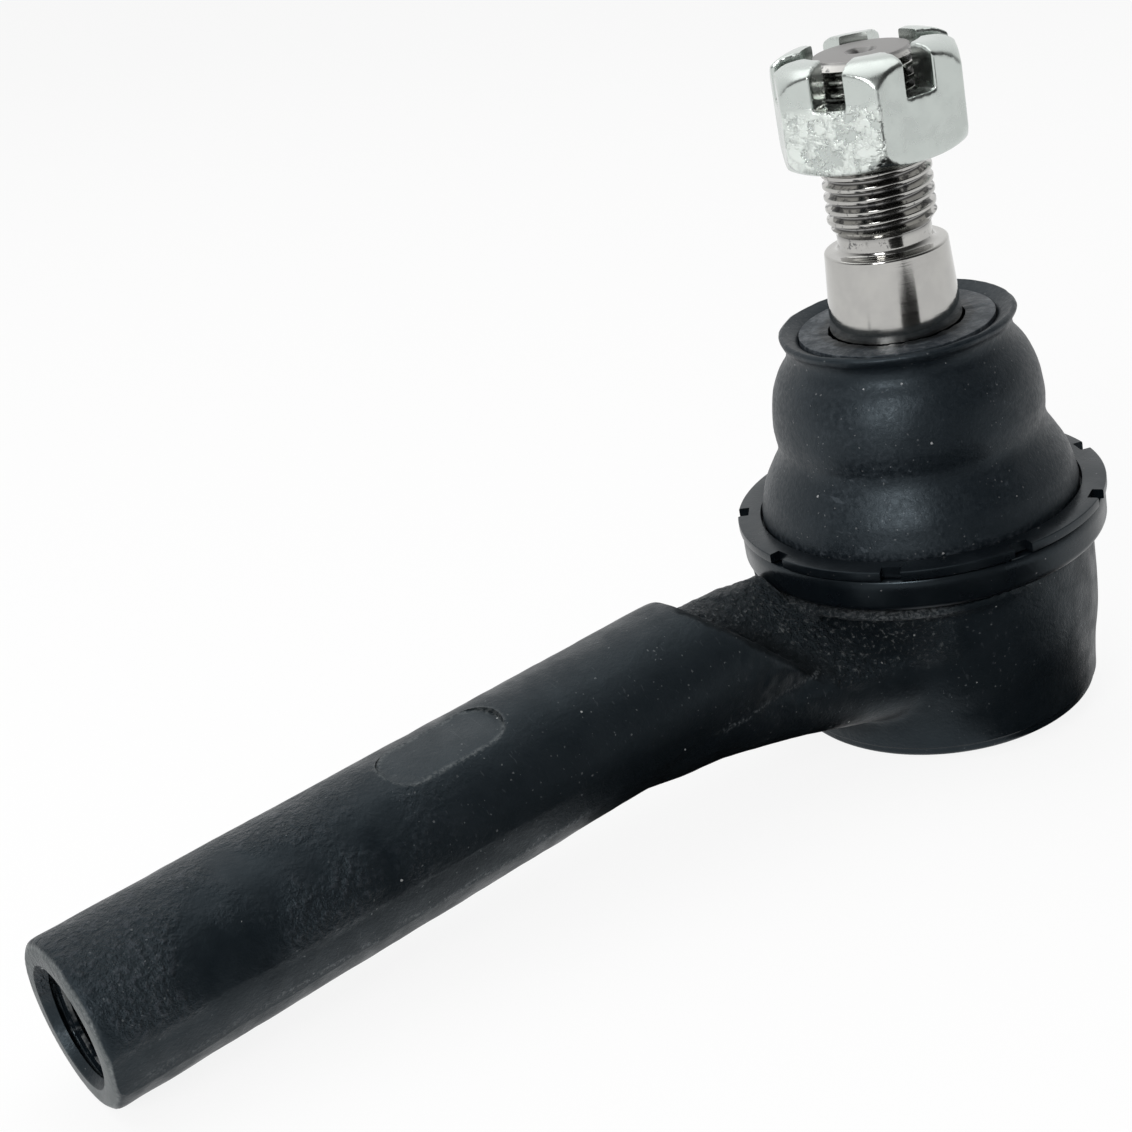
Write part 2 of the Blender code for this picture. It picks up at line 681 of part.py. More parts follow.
def nut_blank():
    """The hexagon between its chamfered top and foot."""
    corner = NUT_ACROSS_FLATS / math.sqrt(3)
    shape = bmesh.new()
    bmesh.ops.create_cone(shape, cap_ends=True, segments=6, radius1=corner * MM,
                          radius2=corner * MM, depth=NUT_HEIGHT * MM)
    middle = (NUT_FOOT + NUT_TOP) / 2
    turn = Matrix.Rotation(math.radians(NUT_TURN + 30), 4, "Z")
    bmesh.ops.transform(shape, matrix=Matrix.Translation((0, 0, middle * MM)) @ turn, verts=shape.verts)
    mesh = bpy.data.meshes.new("hexagon")
    shape.to_mesh(mesh)
    shape.free()
    return mesh


def build_nut(pivot):
    zinc = finish("zinc_plate", (0.78, 0.8, 0.82), 0.28, 1.0)
    corner = NUT_ACROSS_FLATS / math.sqrt(3)
    chamfered = turned("chamfer", [
        (0, NUT_TOP),
        (corner - NUT_CHAMFER_RUN, NUT_TOP),
        (corner, NUT_TOP - NUT_CHAMFER),
        (corner, NUT_FOOT + NUT_FOOT_CHAMFER),
        (corner - NUT_FOOT_CHAMFER_RUN, NUT_FOOT),
        (0, NUT_FOOT),
    ], ROUND_STEPS)
    bore = turned("nut_bore", [
        (0, NUT_TOP + OVERRUN),
        (NUT_BORE, NUT_TOP + OVERRUN),
        (NUT_BORE, NUT_FOOT + NUT_BORE_CHAMFER),
        (NUT_BORE + NUT_BORE_CHAMFER, NUT_FOOT),
        (NUT_BORE + NUT_BORE_CHAMFER, NUT_FOOT - OVERRUN),
        (0, NUT_FOOT - OVERRUN),
    ], FINE_STEPS)
    slots = []
    for i in range(3):
        size = (2 * NUT_ACROSS_FLATS, NUT_SLOT_WIDTH, 2 * NUT_SLOT_DEPTH)
        slots.append(box("slot", size, (0, 0, NUT_TOP), math.radians(NUT_TURN + 60 * i)))
    body = combine(nut_blank(), [chamfered], "INTERSECT")
    mesh = combine(body, [bore] + slots, "DIFFERENCE")
    smooth(mesh)
    drop(mesh, BALL_HEIGHT)
    add_object("castle_nut", mesh, zinc, pivot)


def main():
    clear_scene()
    build_housing()
    build_bearings()
    build_spring()
    build_cover()
    build_boot_rings()
    tilt_x = add_empty("tilt_x_pivot", BALL_HEIGHT)
    tilt_y = add_empty("tilt_y_pivot", 0, tilt_x)
    spin = add_empty("spin_pivot", 0, tilt_y)
    nut_slide = add_empty("nut_pivot", 0, spin)
    build_boot(tilt_x)
    build_collar(tilt_y)
    build_stud(spin)
    build_nut(nut_slide)


main()
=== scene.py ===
"""Looks of a tie rod end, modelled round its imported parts.

The socket's axis is Z, with the closing cover's face at the origin, and the stem points
along -X. Everything is in metres, and MM turns a millimetre into metres.
"""

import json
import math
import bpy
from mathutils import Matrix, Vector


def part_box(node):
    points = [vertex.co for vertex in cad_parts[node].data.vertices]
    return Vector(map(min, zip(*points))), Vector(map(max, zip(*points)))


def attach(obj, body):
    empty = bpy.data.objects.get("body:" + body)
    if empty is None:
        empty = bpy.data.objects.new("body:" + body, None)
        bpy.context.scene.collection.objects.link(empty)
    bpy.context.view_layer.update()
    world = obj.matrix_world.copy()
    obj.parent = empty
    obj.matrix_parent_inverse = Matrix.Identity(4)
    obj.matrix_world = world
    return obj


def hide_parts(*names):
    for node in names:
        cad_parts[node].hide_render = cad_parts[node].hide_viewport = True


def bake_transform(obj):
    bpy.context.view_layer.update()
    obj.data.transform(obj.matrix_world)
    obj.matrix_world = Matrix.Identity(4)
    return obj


bl_info = {
    "name": "Tie Rod End",
    "version": (1, 0, 0),
    "blender": (4, 5, 0),
    "location": "View3D > Sidebar > Tie Rod End",
    "description": "Models the looks of a tie rod end round its packed parts",
    "category": "Object",
}

import bpy
from bpy.props import FloatProperty, FloatVectorProperty, PointerProperty
from mathutils import Matrix, Vector

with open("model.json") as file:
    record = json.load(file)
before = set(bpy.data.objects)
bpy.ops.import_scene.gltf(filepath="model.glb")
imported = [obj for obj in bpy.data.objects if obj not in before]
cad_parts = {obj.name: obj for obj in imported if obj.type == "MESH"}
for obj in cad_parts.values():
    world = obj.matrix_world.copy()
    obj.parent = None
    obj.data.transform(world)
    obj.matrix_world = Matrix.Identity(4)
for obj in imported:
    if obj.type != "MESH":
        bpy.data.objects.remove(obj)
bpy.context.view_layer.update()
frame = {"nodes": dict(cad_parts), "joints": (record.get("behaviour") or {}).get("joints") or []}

MM = 0.001
FULL_TURN = 2 * math.pi

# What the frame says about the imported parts
HOUSING_LOW, HOUSING_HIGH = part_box("housing")
BAND_LOW, BAND_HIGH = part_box("boot_base_band")
RING_LOW, RING_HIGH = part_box("boot_retaining_ring")
BOOT_LOW, BOOT_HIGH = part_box("boot")
COLLAR_LOW, COLLAR_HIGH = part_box("boot_collar_ring")
STUD_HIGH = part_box("ball_stud")[1]
NUT_LOW, NUT_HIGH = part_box("castle_nut")
COVER_LOW, COVER_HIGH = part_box("end_cover")
LOWER_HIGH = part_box("lower_bearing")[1]
UPPER_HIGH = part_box("upper_bearing")[1]
PIVOT = Vector(frame["joints"][0]["pos_m"])

# Sizes that more than one piece or finish uses
SPIGOT_TOP = BAND_LOW.z + 3.7 * MM
SPIGOT_RADIUS = BAND_HIGH.x - 5.8 * MM
COLLAR_BORE = COLLAR_HIGH.x - 3.85 * MM
COVER_FACE = COVER_HIGH.x - 2.0 * MM
BOOT_WAIST = RING_HIGH.z + 9.6 * MM

# The stem's tapped hole
BORE_LENGTH = 48 * MM
BORE_RADIUS = 6.2 * MM
TAP_MAJOR = 7.1 * MM
TAP_MINOR = 6.1 * MM
TAP_PITCH = 1.5 * MM

# Facets round a full turn, gap between neighbours, how far a cutter runs past a face,
# and the angle from which an edge stays sharp
ROUND = 160
THREAD_ROUND = 72
CLEARANCE = 0.3 * MM
OVERRUN = 3 * MM
SHARP = math.radians(32)

# How far the stem's slanted shoulder runs along X for each unit of height
SHOULDER_SLOPE = 0.98

# Tints of the reflections on the black pieces
COATING_TINT = (0.72, 0.89, 1.0)
RUBBER_TINT = (0.75, 0.9, 1.0)


def length(name, description, default):
    """A size that the sidebar shows as a distance."""
    return FloatProperty(name=name, description=description, default=default, unit="LENGTH",
                         subtype="DISTANCE", precision=5)


def colour(name, description, default):
    """A base colour."""
    return FloatVectorProperty(name=name, description=description, default=default, size=3,
                               subtype="COLOR", min=0.0, max=1.0)


def share(name, description, default):
    """A number from nought to one."""
    return FloatProperty(name=name, description=description, default=default, min=0.0, max=1.0,
                         subtype="FACTOR")


class ForgingSettings(bpy.types.PropertyGroup):
    """The forged housing and its coating."""

    stem_radius: length("Stem radius", "Radius of the round stem", 9.9 * MM)
    stem_height: length("Stem height", "Height of the stem's middle line over the cover", 22.8 * MM)
    shoulder: length("Shoulder", "Distance of the stem's shoulder from the socket's axis", 44.8 * MM)
    grain: length("Grain", "Height of the rough grain on the neck", 0.38 * MM)
    flash: length("Flash", "Height of the forging's parting line", 0.16 * MM)
    voxel: length("Fineness", "Grid that the forging's blanks are fused on", 0.51 * MM)
    pad_place: length("Flat's place", "Distance of the small flat from the socket's axis", 81.6 * MM)
    pad_depth: length("Flat's depth", "Depth of the small flat on the stem", 0.65 * MM)
    pad_turn: FloatProperty(name="Flat's turn", description="Lean of the small flat to the side",
                            default=math.radians(12), subtype="ANGLE")
    coat: colour("Coating", "Black coating", (0.0042, 0.0068, 0.0092))
    bare: colour("Worn end", "Worn coating on the stem's end face", (0.070, 0.078, 0.078))


class BootSettings(bpy.types.PropertyGroup):
    """The rubber boot, its rings and its collar."""

    wall: length("Wall", "Thickness of the boot's rubber", 1.8 * MM)
    rubber: colour("Rubber", "Black rubber", (0.0046, 0.0072, 0.0100))
    dust: colour("Dust", "Dust and bloom on the rubber", (0.085, 0.098, 0.112))
    collar: colour("Collar", "Greyer rubber of the collar ring", (0.022, 0.027, 0.033))
    ring: colour("Rings", "Black plastic of the band and the ring", (0.0028, 0.0042, 0.0058))


class StudSettings(bpy.types.PropertyGroup):
    """The polished ball stud."""

    thread_radius: length("Thread radius", "Outer radius of the thread", 7.0 * MM)
    thread_depth: length("Thread depth", "Depth of the thread", 0.92 * MM)
    pitch: length("Pitch", "Rise of the thread in one turn", 1.5 * MM)
    steel: colour("Steel", "Polished steel", (0.47, 0.465, 0.445))
    # Its colour also paints shade in the thread's roots, besides oil smears
    oil_and_root_shade: colour("Thread roots", "Oiled steel between the thread's ridges", (0.13, 0.13, 0.132))


class NutSettings(bpy.types.PropertyGroup):
    """The zinc-plated castle nut."""

    across_flats: length("Across flats", "Width over two flats", 22 * MM)
    slot_width: length("Slot width", "Width of a slot", 4.2 * MM)
    slot_depth: length("Slot depth", "Depth of a slot", 5.4 * MM)
    turn: FloatProperty(name="Turn", description="Direction that one flat faces",
                        default=math.radians(-99.3), subtype="ANGLE")
    voxel: length("Fineness", "Grid that the nut's blank is fused on", 0.2 * MM)
    zinc: colour("Zinc", "Bright zinc plate", (0.56, 0.60, 0.575))
    film: colour("Film", "Flaky pale film on the plate", (0.80, 0.85, 0.81))


class StageSettings(bpy.types.PropertyGroup):
    """Floor, lamps and camera."""

    camera_place: FloatVectorProperty(name="Camera", description="Where the camera stands", size=3,
                                      unit="LENGTH", subtype="TRANSLATION",
                                      default=(-0.170913, -0.171227, 0.135782))
    camera_turn: FloatVectorProperty(name="Camera turn", description="How the camera is turned", size=3,
                                     subtype="EULER",
                                     default=[math.radians(v) for v in (65.387, 11.206, -38.366)])
    lens: FloatProperty(name="Lens", description="Focal length in millimetres", default=60.785)
    floor: colour("Floor", "Pale floor", (0.92, 0.92, 0.92))
    back: share("Back light", "Brightness of the studio behind the object", 1.0)
    front: share("Front light", "Brightness of the studio in front of the object", 0.05)
    lift: share("Floor lift", "How far the floor is lifted to white", 0.88)


# Modelling helpers

def calm():
    """Object mode with nothing selected."""
    if bpy.context.mode != "OBJECT":
        bpy.ops.object.mode_set(mode="OBJECT")
    bpy.ops.object.select_all(action="DESELECT")


def choose(piece):
    """Select one piece and make it active."""
    calm()
    piece.select_set(True)
    bpy.context.view_layer.objects.active = piece


def edit(piece):
    """Open a piece for editing with all of it selected."""
    choose(piece)
    bpy.ops.object.mode_set(mode="EDIT")
    bpy.ops.mesh.select_all(action="SELECT")


def close_up(piece):
    """Merge doubles, point the faces outwards and leave edit mode."""
    bpy.ops.mesh.select_all(action="SELECT")
    bpy.ops.mesh.remove_doubles(threshold=0.001 * MM)
    bpy.ops.mesh.normals_make_consistent(inside=False)
    calm()
    return piece


def name_last(name):
    """Name the primitive that was just added."""
    piece = bpy.context.object
    piece.name = name
    piece.data.name = name
    return piece


def draw(name, points):
    """Draw a chain of edges by extruding one point from place to place."""
    calm()
    bpy.ops.mesh.primitive_plane_add(size=MM, location=(0, 0, 0))
    piece = name_last(name)
    bpy.ops.object.mode_set(mode="EDIT")
    bpy.ops.mesh.merge(type="CENTER")
    bpy.ops.transform.translate(value=points[0])
    for start, end in zip(points, points[1:]):
        bpy.ops.mesh.extrude_region_move(TRANSFORM_OT_translate={"value": end - start})
    bpy.ops.mesh.select_all(action="SELECT")
    return piece


def turn(name, outline, steps=ROUND):
    """Turn an outline of (radius, height) points round the stud's axis."""
    piece = draw(name, [Vector((radius, 0, height)) for radius, height in outline])
    bpy.ops.mesh.spin(steps=steps, angle=FULL_TURN, center=(0, 0, 0), axis=(0, 0, 1))
    return close_up(piece)


def rounded(corners, ring=False, steps=4):
    """An outline through (radius, height, setback) corners, each one eased over its setback."""
    points = [Vector(corner[:2]) for corner in corners]
    count = len(points)
    outline = []
    for i, corner in enumerate(points):
        ends = (i == 0 or i == count - 1) and not ring
        setback = corners[i][2] if len(corners[i]) > 2 and not ends else 0
        if not setback:
            outline.append(tuple(corner))
            continue
        before = points[i - 1] - corner
        after = points[(i + 1) % count] - corner
        start = corner + before.normalized() * min(setback, before.length * 0.45)
        end = corner + after.normalized() * min(setback, after.length * 0.45)
        for k in range(steps + 1):
            t = k / steps
            outline.append(tuple(start * (1 - t) ** 2 + corner * 2 * t * (1 - t) + end * t ** 2))
    if ring:
        outline.append(outline[0])
    return outline


def flowing(points, steps):
    """A smooth open curve through a few (radius, height) points."""
    points = [Vector(point) for point in points]
    last = len(points) - 1
    curve = []
    for i in range(last):
        a, b, c, d = points[max(i - 1, 0)], points[i], points[i + 1], points[min(i + 2, last)]
        for k in range(steps):
            t = k / steps
            curve.append(tuple(0.5 * (2 * b + (c - a) * t + (2 * a - 5 * b + 4 * c - d) * t ** 2
                                      + (3 * b - a - 3 * c + d) * t ** 3)))
    curve.append(tuple(points[last]))
    return curve


def apply_step(piece, kind, **settings):
    """Add a modifier, set it up and apply it."""
    choose(piece)
    step = piece.modifiers.new(kind.lower(), kind)
    for key, value in settings.items():
        setattr(step, key, value)
    bpy.ops.object.modifier_apply(modifier=step.name)
    return piece


def carve(piece, tool, operation="DIFFERENCE"):
    """Cut, join or cross a piece with a tool, and put the tool away."""
    apply_step(piece, "BOOLEAN", operation=operation, object=tool, solver="MANIFOLD")
    bpy.data.objects.remove(tool, do_unlink=True)
    return piece


def settle(piece, lie):
    """Move a piece to its lie and take that up in its mesh."""
    choose(piece)
    piece.matrix_world = lie
    bpy.ops.object.transform_apply(location=True, rotation=True, scale=True)
    return piece


def lay_along_stem(piece, height):
    """Turn a piece that was made round Z so that its top lies at the stem's end."""
    return settle(piece, Matrix.Translation((0, 0, height)) @ Matrix.Rotation(-math.pi / 2, 4, "Y"))


def trim(piece, place, normal):
    """Cut a piece off square beyond a plane and close the cut."""
    edit(piece)
    bpy.ops.mesh.bisect(plane_co=place, plane_no=normal, use_fill=True, clear_outer=True,
                        threshold=0.0001 * MM)
    return close_up(piece)


def block(name, size, place, turned=0.0):
    """A block for cutting, turned about Z once it is in place."""
    calm()
    bpy.ops.mesh.primitive_cube_add(size=1.0)
    return settle(name_last(name), Matrix.Rotation(turned, 4, "Z") @ Matrix.Translation(place)
                  @ Matrix.Diagonal((*size, 1)))


def threaded(name, major, minor, pitch, foot, top):
    """A right-handed threaded rod, cut square at its foot and at its top."""
    turns = math.ceil((top - foot) / pitch) + 2
    profile = ((0.0, 0.0), (0.06, 0.0), (0.12, 0.10), (0.29, 0.84), (0.34, 0.96), (0.41, 1.0),
               (0.59, 1.0), (0.66, 0.96), (0.71, 0.84), (0.88, 0.10), (0.94, 0.0), (1.0, 0.0))
    outline = [Vector((minor + (major - minor) * rise, 0, foot + (t - 1.5) * pitch))
               for t, rise in profile]
    piece = draw(name, outline)
    calm()
    apply_step(piece, "SCREW", axis="Z", angle=FULL_TURN, screw_offset=pitch, iterations=turns,
               steps=THREAD_ROUND, render_steps=THREAD_ROUND, use_merge_vertices=True,
               merge_threshold=0.001 * MM)
    edit(piece)
    close_up(piece)
    trim(piece, (0, 0, top), (0, 0, 1))
    return trim(piece, (0, 0, foot), (0, 0, -1))


def weigh(piece, name, weight):
    """A vertex group whose weights come from each point's place."""
    group = piece.vertex_groups.new(name=name)
    for point in piece.data.vertices:
        amount = weight(point.co)
        if amount > 0:
            group.add([point.index], amount, "REPLACE")
    return group.name


def roughen(piece, group, size, height, middle=0.5):
    """Push a vertex group out by soft clouds of a size."""
    clouds = bpy.data.textures.new("clouds", "CLOUDS")
    clouds.noise_scale = size
    clouds.noise_depth = 2
    apply_step(piece, "DISPLACE", texture=clouds, texture_coords="LOCAL", strength=height,
               mid_level=middle, vertex_group=group)
    bpy.data.textures.remove(clouds)


def step_up(value, low, high):
    """A smooth step from nought at low to one at high."""
    t = min(1.0, max(0.0, (value - low) / (high - low)))
    return t * t * (3 - 2 * t)


def dress(piece, material):
    """Give a piece its material and smooth shading with real edges kept."""
    piece.data.materials.clear()
    piece.data.materials.append(material)
    choose(piece)
    bpy.ops.object.shade_smooth_by_angle(angle=SHARP)
    piece.vertex_groups.clear()
    return piece


# Material helpers

def wire(tree, socket, value):
    """Link a socket to what another node gives, or set it to a plain value."""
    if isinstance(value, Sum):
        value = value.socket
    if isinstance(value, bpy.types.NodeSocket):
        tree.links.new(value, socket)
    elif socket.type == "RGBA":
        socket.default_value = (*value[:3], 1.0)
    else:
        socket.default_value = value


def put(tree, kind, inputs=None, **settings):
    """Add a node, set it up and wire what comes from other nodes."""
    made = tree.nodes.new(kind)
    for key, value in settings.items():
        setattr(made, key, value)
    for key, value in (inputs or {}).items():
        wire(tree, made.inputs[key], value)
    return made


def set_up(material, **values):
    """Set or wire the sockets of a material's shader, given by their names with underscores."""
    tree = material.node_tree
    for key, value in values.items():
        wire(tree, tree.nodes["Principled BSDF"].inputs[key.replace("_", " ")], value)


class Sum:
    """A number that a node gives, so that sums on it read as sums."""

    def __init__(self, tree, socket):
        self.tree = tree
        self.socket = socket

    def work(self, operation, first, second=0.0):
        """One sum of this tree."""
        made = put(self.tree, "ShaderNodeMath", {0: first, 1: second}, operation=operation)
        return Sum(self.tree, made.outputs[0])

    def __add__(self, other):
        return self.work("ADD", self, other)

    def __sub__(self, other):
        return self.work("SUBTRACT", self, other)

    def __rsub__(self, other):
        return self.work("SUBTRACT", other, self)

    def __mul__(self, other):
        return self.work("MULTIPLY", self, other)

    def __abs__(self):
        return self.work("ABSOLUTE", self)

    def root(self):
        """Its square root."""
        return self.work("POWER", self, 0.5)

    def most(self, other):
        """The larger of it and another."""
        return self.work("MAXIMUM", self, other)

    def between(self, low, high, start=0.0, end=1.0):
        """Its share of the way from low to high, from start to end."""
        made = put(self.tree, "ShaderNodeMapRange", {"Value": self, "From Min": low, "From Max": high,
                                                     "To Min": start, "To Max": end},
                   interpolation_type="SMOOTHSTEP")
        return Sum(self.tree, made.outputs[0])


class Finish:
    """A Principled material in the making, with its places in millimetres."""

    def __init__(self, name):
        self.made = bpy.data.materials.new(name)
        self.made.use_nodes = True
        self.tree = self.made.node_tree
        self.place = self.scaled(put(self.tree, "ShaderNodeTexCoord").outputs["Object"], 1 / MM)
        self.shade = None

    def scaled(self, vector, factor):
        """A place or a shift, times a factor."""
        made = put(self.tree, "ShaderNodeVectorMath", {0: vector, "Scale": factor}, operation="SCALE")
        return made.outputs[0]

    def split(self, vector):
        """The three parts of a place or a colour."""
        return [Sum(self.tree, part) for part in put(self.tree, "ShaderNodeSeparateXYZ", {0: vector}).outputs]

    def distance(self, *parts):
        """The length that these parts make together."""
        joined = put(self.tree, "ShaderNodeCombineXYZ", dict(enumerate(parts))).outputs[0]
        made = put(self.tree, "ShaderNodeVectorMath", {0: joined}, operation="LENGTH")
        return Sum(self.tree, made.outputs["Value"])

    def noise(self, scale, detail=3.0, roughness=0.55, turned=(0, 0, 0), squeezed=None):
        """Cloudy noise, with its scale in cycles per millimetre. Squeezing makes scratches and streaks."""
        place = self.place
        if squeezed:
            place = put(self.tree, "ShaderNodeMapping", {"Vector": place, "Rotation": turned,
                                                         "Scale": squeezed}).outputs[0]
        made = put(self.tree, "ShaderNodeTexNoise", {"Vector": place, "Scale": scale, "Detail": detail,
                                                     "Roughness": roughness})
        return Sum(self.tree, made.outputs[0])

    def specks(self, scale, size, keep):
        """Small uneven flecks, one in some of the cells of a scale, with their size in millimetres."""
        wander = put(self.tree, "ShaderNodeTexNoise", {"Vector": self.place, "Scale": 3.2, "Detail": 2.0})
        shift = self.scaled(wander.outputs["Color"], 0.35)
        bent = put(self.tree, "ShaderNodeVectorMath", {0: self.place, 1: shift}, operation="ADD").outputs[0]
        cells = put(self.tree, "ShaderNodeTexVoronoi", {"Vector": bent, "Scale": scale})
        near = self.split(cells.outputs["Color"])[0].between(keep, 1.0) * (size * scale)
        return near.work("LESS_THAN", cells.outputs["Distance"], near)

    def lay(self, amount, tone):
        """Lay a colour over the shade so far."""
        made = put(self.tree, "ShaderNodeMix", {0: amount, 6: self.shade, 7: tone}, data_type="RGBA")
        self.shade = made.outputs[2]

    def done(self, height, depth, strength=1.0, **values):
        """Raise the surface by a height map of a depth in millimetres and set the shader."""
        raised = put(self.tree, "ShaderNodeBump", {"Height": height, "Distance": depth * MM,
                                                   "Strength": strength})
        set_up(self.made, Base_Color=self.shade, Normal=raised.outputs[0], **values)
        return self.made


# Finishes

def black_coating(settings):
    """Thin black coating on a rough forging: grain, flecks, rubbed spots and a worn end face."""
    coat = Finish("black_coating")
    x, y, z = coat.split(coat.place)
    end_face = HOUSING_LOW.x / MM
    stem = settings.stem_radius / MM
    middle = settings.stem_height / MM
    up = z - middle
    radius = coat.distance(y, up)
    fine = coat.noise(2.2, 4.0, 0.65)
    coarse = coat.noise(0.35)
    soft = coat.noise(0.07, 2.0)

    # Where the forging is rough: the web behind the slanted shoulder, and the stem's far half
    shoulder = settings.shoulder / MM - SHOULDER_SLOPE * (middle + stem)
    behind = x + z * SHOULDER_SLOPE + shoulder + coarse * 2.0
    web = behind.between(0.5, 2.5) * x.between(-12.0, -20.0) * z.between(14.0, 18.0)
    handle = x.between(-78.0, -104.0) * soft.between(0.34, 0.56) * up.between(-1.0, 2.0)
    rough = web * 1.3 + handle * 0.7 + 0.3
    crumple = coat.noise(0.85, 5.0, 0.68)
    grit = coat.noise(1.15, 3.0, 0.6)
    height = fine * rough + coarse * 0.5 + crumple * web * 9.0 + grit * handle * 3.0
    # Painted shade: the pocket just behind the shoulder's ridge is darkened where shade falls, and made
    # duller
    shaded_pocket = behind.between(-0.3, 0.5) * behind.between(5.4, 2.6) * y.between(2.0, -3.0)
    shaded_pocket = shaded_pocket * z.between(15.5, 18.5)
    crackle = fine.between(0.60, 0.70) * rough.between(0.5, 1.3)
    flecks = coat.noise(1.7, 3.0, 0.7).between(0.57, 0.66) * web * crumple.between(0.40, 0.56)
    # Lighter raised grit on the stem's upper far part, partly painted highlights on the bumps
    lit_pebbles = grit.between(0.53, 0.64) * handle

    # The small flat on the stem, its lighter tone partly painted light where it faces up to the lamp, and its
    # rubbed outline
    lean = settings.pad_turn
    across = y * math.cos(lean) + up * math.sin(lean)
    beyond = (abs(x + settings.pad_place / MM) - 4.7).most(0.0)
    inside = 3.4 - (beyond * beyond + across * across).root() + coarse * 0.4
    on_top = up.between(7.0, 8.0)
    pad = inside.between(0.1, 0.5) * on_top
    outline = inside.between(-0.35, 0.15) * inside.between(0.75, 0.2) * on_top * fine.between(0.35, 0.65)

    # Dust, scratches and the worn parting line
    sparse = soft.between(0.36, 0.60)
    dust = coat.specks(1.5, 0.13, 0.55) * sparse
    dots = coat.specks(0.34, 0.21, 0.62)
    lines = coat.noise(0.8, 2.0, turned=(0.5, 0.4, 0.9), squeezed=(3.0, 0.12, 1.2))
    scratch = lines.between(0.66, 0.72) * sparse
    parting = abs(up + coarse * 2.4 + 3.0).between(0.5, 0.1) * fine.between(0.46, 0.64)
    parting = parting * soft.between(0.38, 0.56) * x.between(-26.0, -32.0)

    # The bore's thread, the scar on the ledge under the band and the worn end face
    tapped = radius.between(7.35, 7.2) * x.between(-44.0, -50.0) * x.between(end_face + 1.1, end_face + 1.6)
    # Painted highlight: the thread's crests inside the bore are lightened as glints
    glint = tapped * radius.between(6.45, 6.25) * coarse.between(0.46, 0.58)
    reach = coat.distance(x, y)
    scar = reach.between(22.5, 22.9) * reach.between(25.6, 24.6) * z.between(21.2, 22.0)
    scar = scar * fine.between(0.42, 0.62, 0.15, 1.0) * y.between(-2.0, -11.0, 0.35, 1.0)
    scar = scar * y.between(-19.5, -15.5)
    end = (x + coarse * 0.5).between(end_face + 0.75, end_face + 0.35) * radius.between(7.1, 7.3)
    rim = end * radius.between(stem - 1.0, stem - 0.5)

    coat.shade = settings.coat
    coat.lay(soft.between(0.35, 0.7), (0.0068, 0.0098, 0.0125))
    # the flat's lighter grey, partly painted light where it faces up
    coat.lay(pad * 0.35, (0.045, 0.052, 0.056))
    coat.lay(outline * 0.5, (0.15, 0.16, 0.16))
    coat.lay(crackle * 0.5, (0.12, 0.13, 0.135))
    coat.lay(flecks * 0.6, (0.19, 0.20, 0.20))
    # partly painted highlights on the stem's raised grit
    coat.lay(lit_pebbles * 0.5, (0.040, 0.044, 0.052))
    coat.lay(scar * 0.7, (0.15, 0.16, 0.165))
    # painted shade in the pocket behind the shoulder
    coat.lay(shaded_pocket * 0.95, (0.0012, 0.0016, 0.002))
    coat.lay(scratch * 0.4, (0.05, 0.055, 0.06))
    coat.lay(parting * 0.5, (0.13, 0.14, 0.145))
    coat.lay(dust * 0.5, (0.16, 0.17, 0.175))
    coat.lay(dots * 0.85, (0.34, 0.35, 0.35))
    # painted glints on the bore's thread crests
    coat.lay(glint * 0.5, (0.30, 0.31, 0.31))
    coat.lay(end * coarse.between(0.3, 0.6, 0.6, 1.0), settings.bare)
    coat.lay(rim * fine.between(0.3, 0.7), (0.17, 0.18, 0.18))
    dull = coarse.between(0.3, 0.7, 0.36, 0.50) - tapped * 0.2 + shaded_pocket * 0.45
    return coat.done(height, 0.22, Roughness=dull, Specular_IOR_Level=0.34, Specular_Tint=COATING_TINT)


def rubber(settings):
    """Satin black rubber with dust, bloom and short scuffs."""
    boot = Finish("boot_rubber")
    height = boot.split(boot.place)[2]
    foot = RING_HIGH.z / MM
    soft = boot.noise(0.09, 4.0, 0.6)
    fine = boot.noise(1.6, 4.0, 0.65)
    bloom = soft.between(0.42, 0.72) * fine.between(0.35, 0.75)
    dust = boot.specks(1.6, 0.12, 0.5) * soft.between(0.36, 0.60)
    dots = boot.specks(0.38, 0.18, 0.62)
    lines = boot.noise(0.7, 2.0, turned=(0.3, 0.9, 0.6), squeezed=(2.4, 0.16, 1.5))
    scuff = lines.between(0.66, 0.73) * soft.between(0.45, 0.6)
    seam = height.between(foot + 1.4, foot + 0.3) * fine.between(0.40, 0.75)
    boot.shade = settings.rubber
    boot.lay(bloom * 0.2, settings.dust)
    boot.lay(seam * 0.3, settings.dust)
    boot.lay(scuff * 0.3, settings.dust)
    boot.lay(dust * 0.5, (0.18, 0.185, 0.19))
    boot.lay(dots * 0.8, (0.34, 0.345, 0.35))
    return boot.done(fine + soft * 2.0, 0.06, Roughness=fine.between(0.3, 0.7, 0.38, 0.52),
                     Specular_IOR_Level=0.42, Specular_Tint=RUBBER_TINT)


def moulded_black(settings):
    """Smooth black plastic with a little dust."""
    ring = Finish("ring_black")
    soft = ring.noise(0.15)
    fine = ring.noise(2.0)
    dust = ring.specks(1.2, 0.13, 0.6) * soft.between(0.42, 0.6)
    ring.shade = settings.ring
    ring.lay(soft.between(0.4, 0.7), (0.005, 0.007, 0.009))
    ring.lay(dust * 0.6, (0.24, 0.24, 0.25))
    return ring.done(soft + fine * 0.25, 0.08, 0.8, Roughness=soft.between(0.3, 0.7, 0.26, 0.38),
                     Specular_IOR_Level=0.36, Specular_Tint=COATING_TINT)


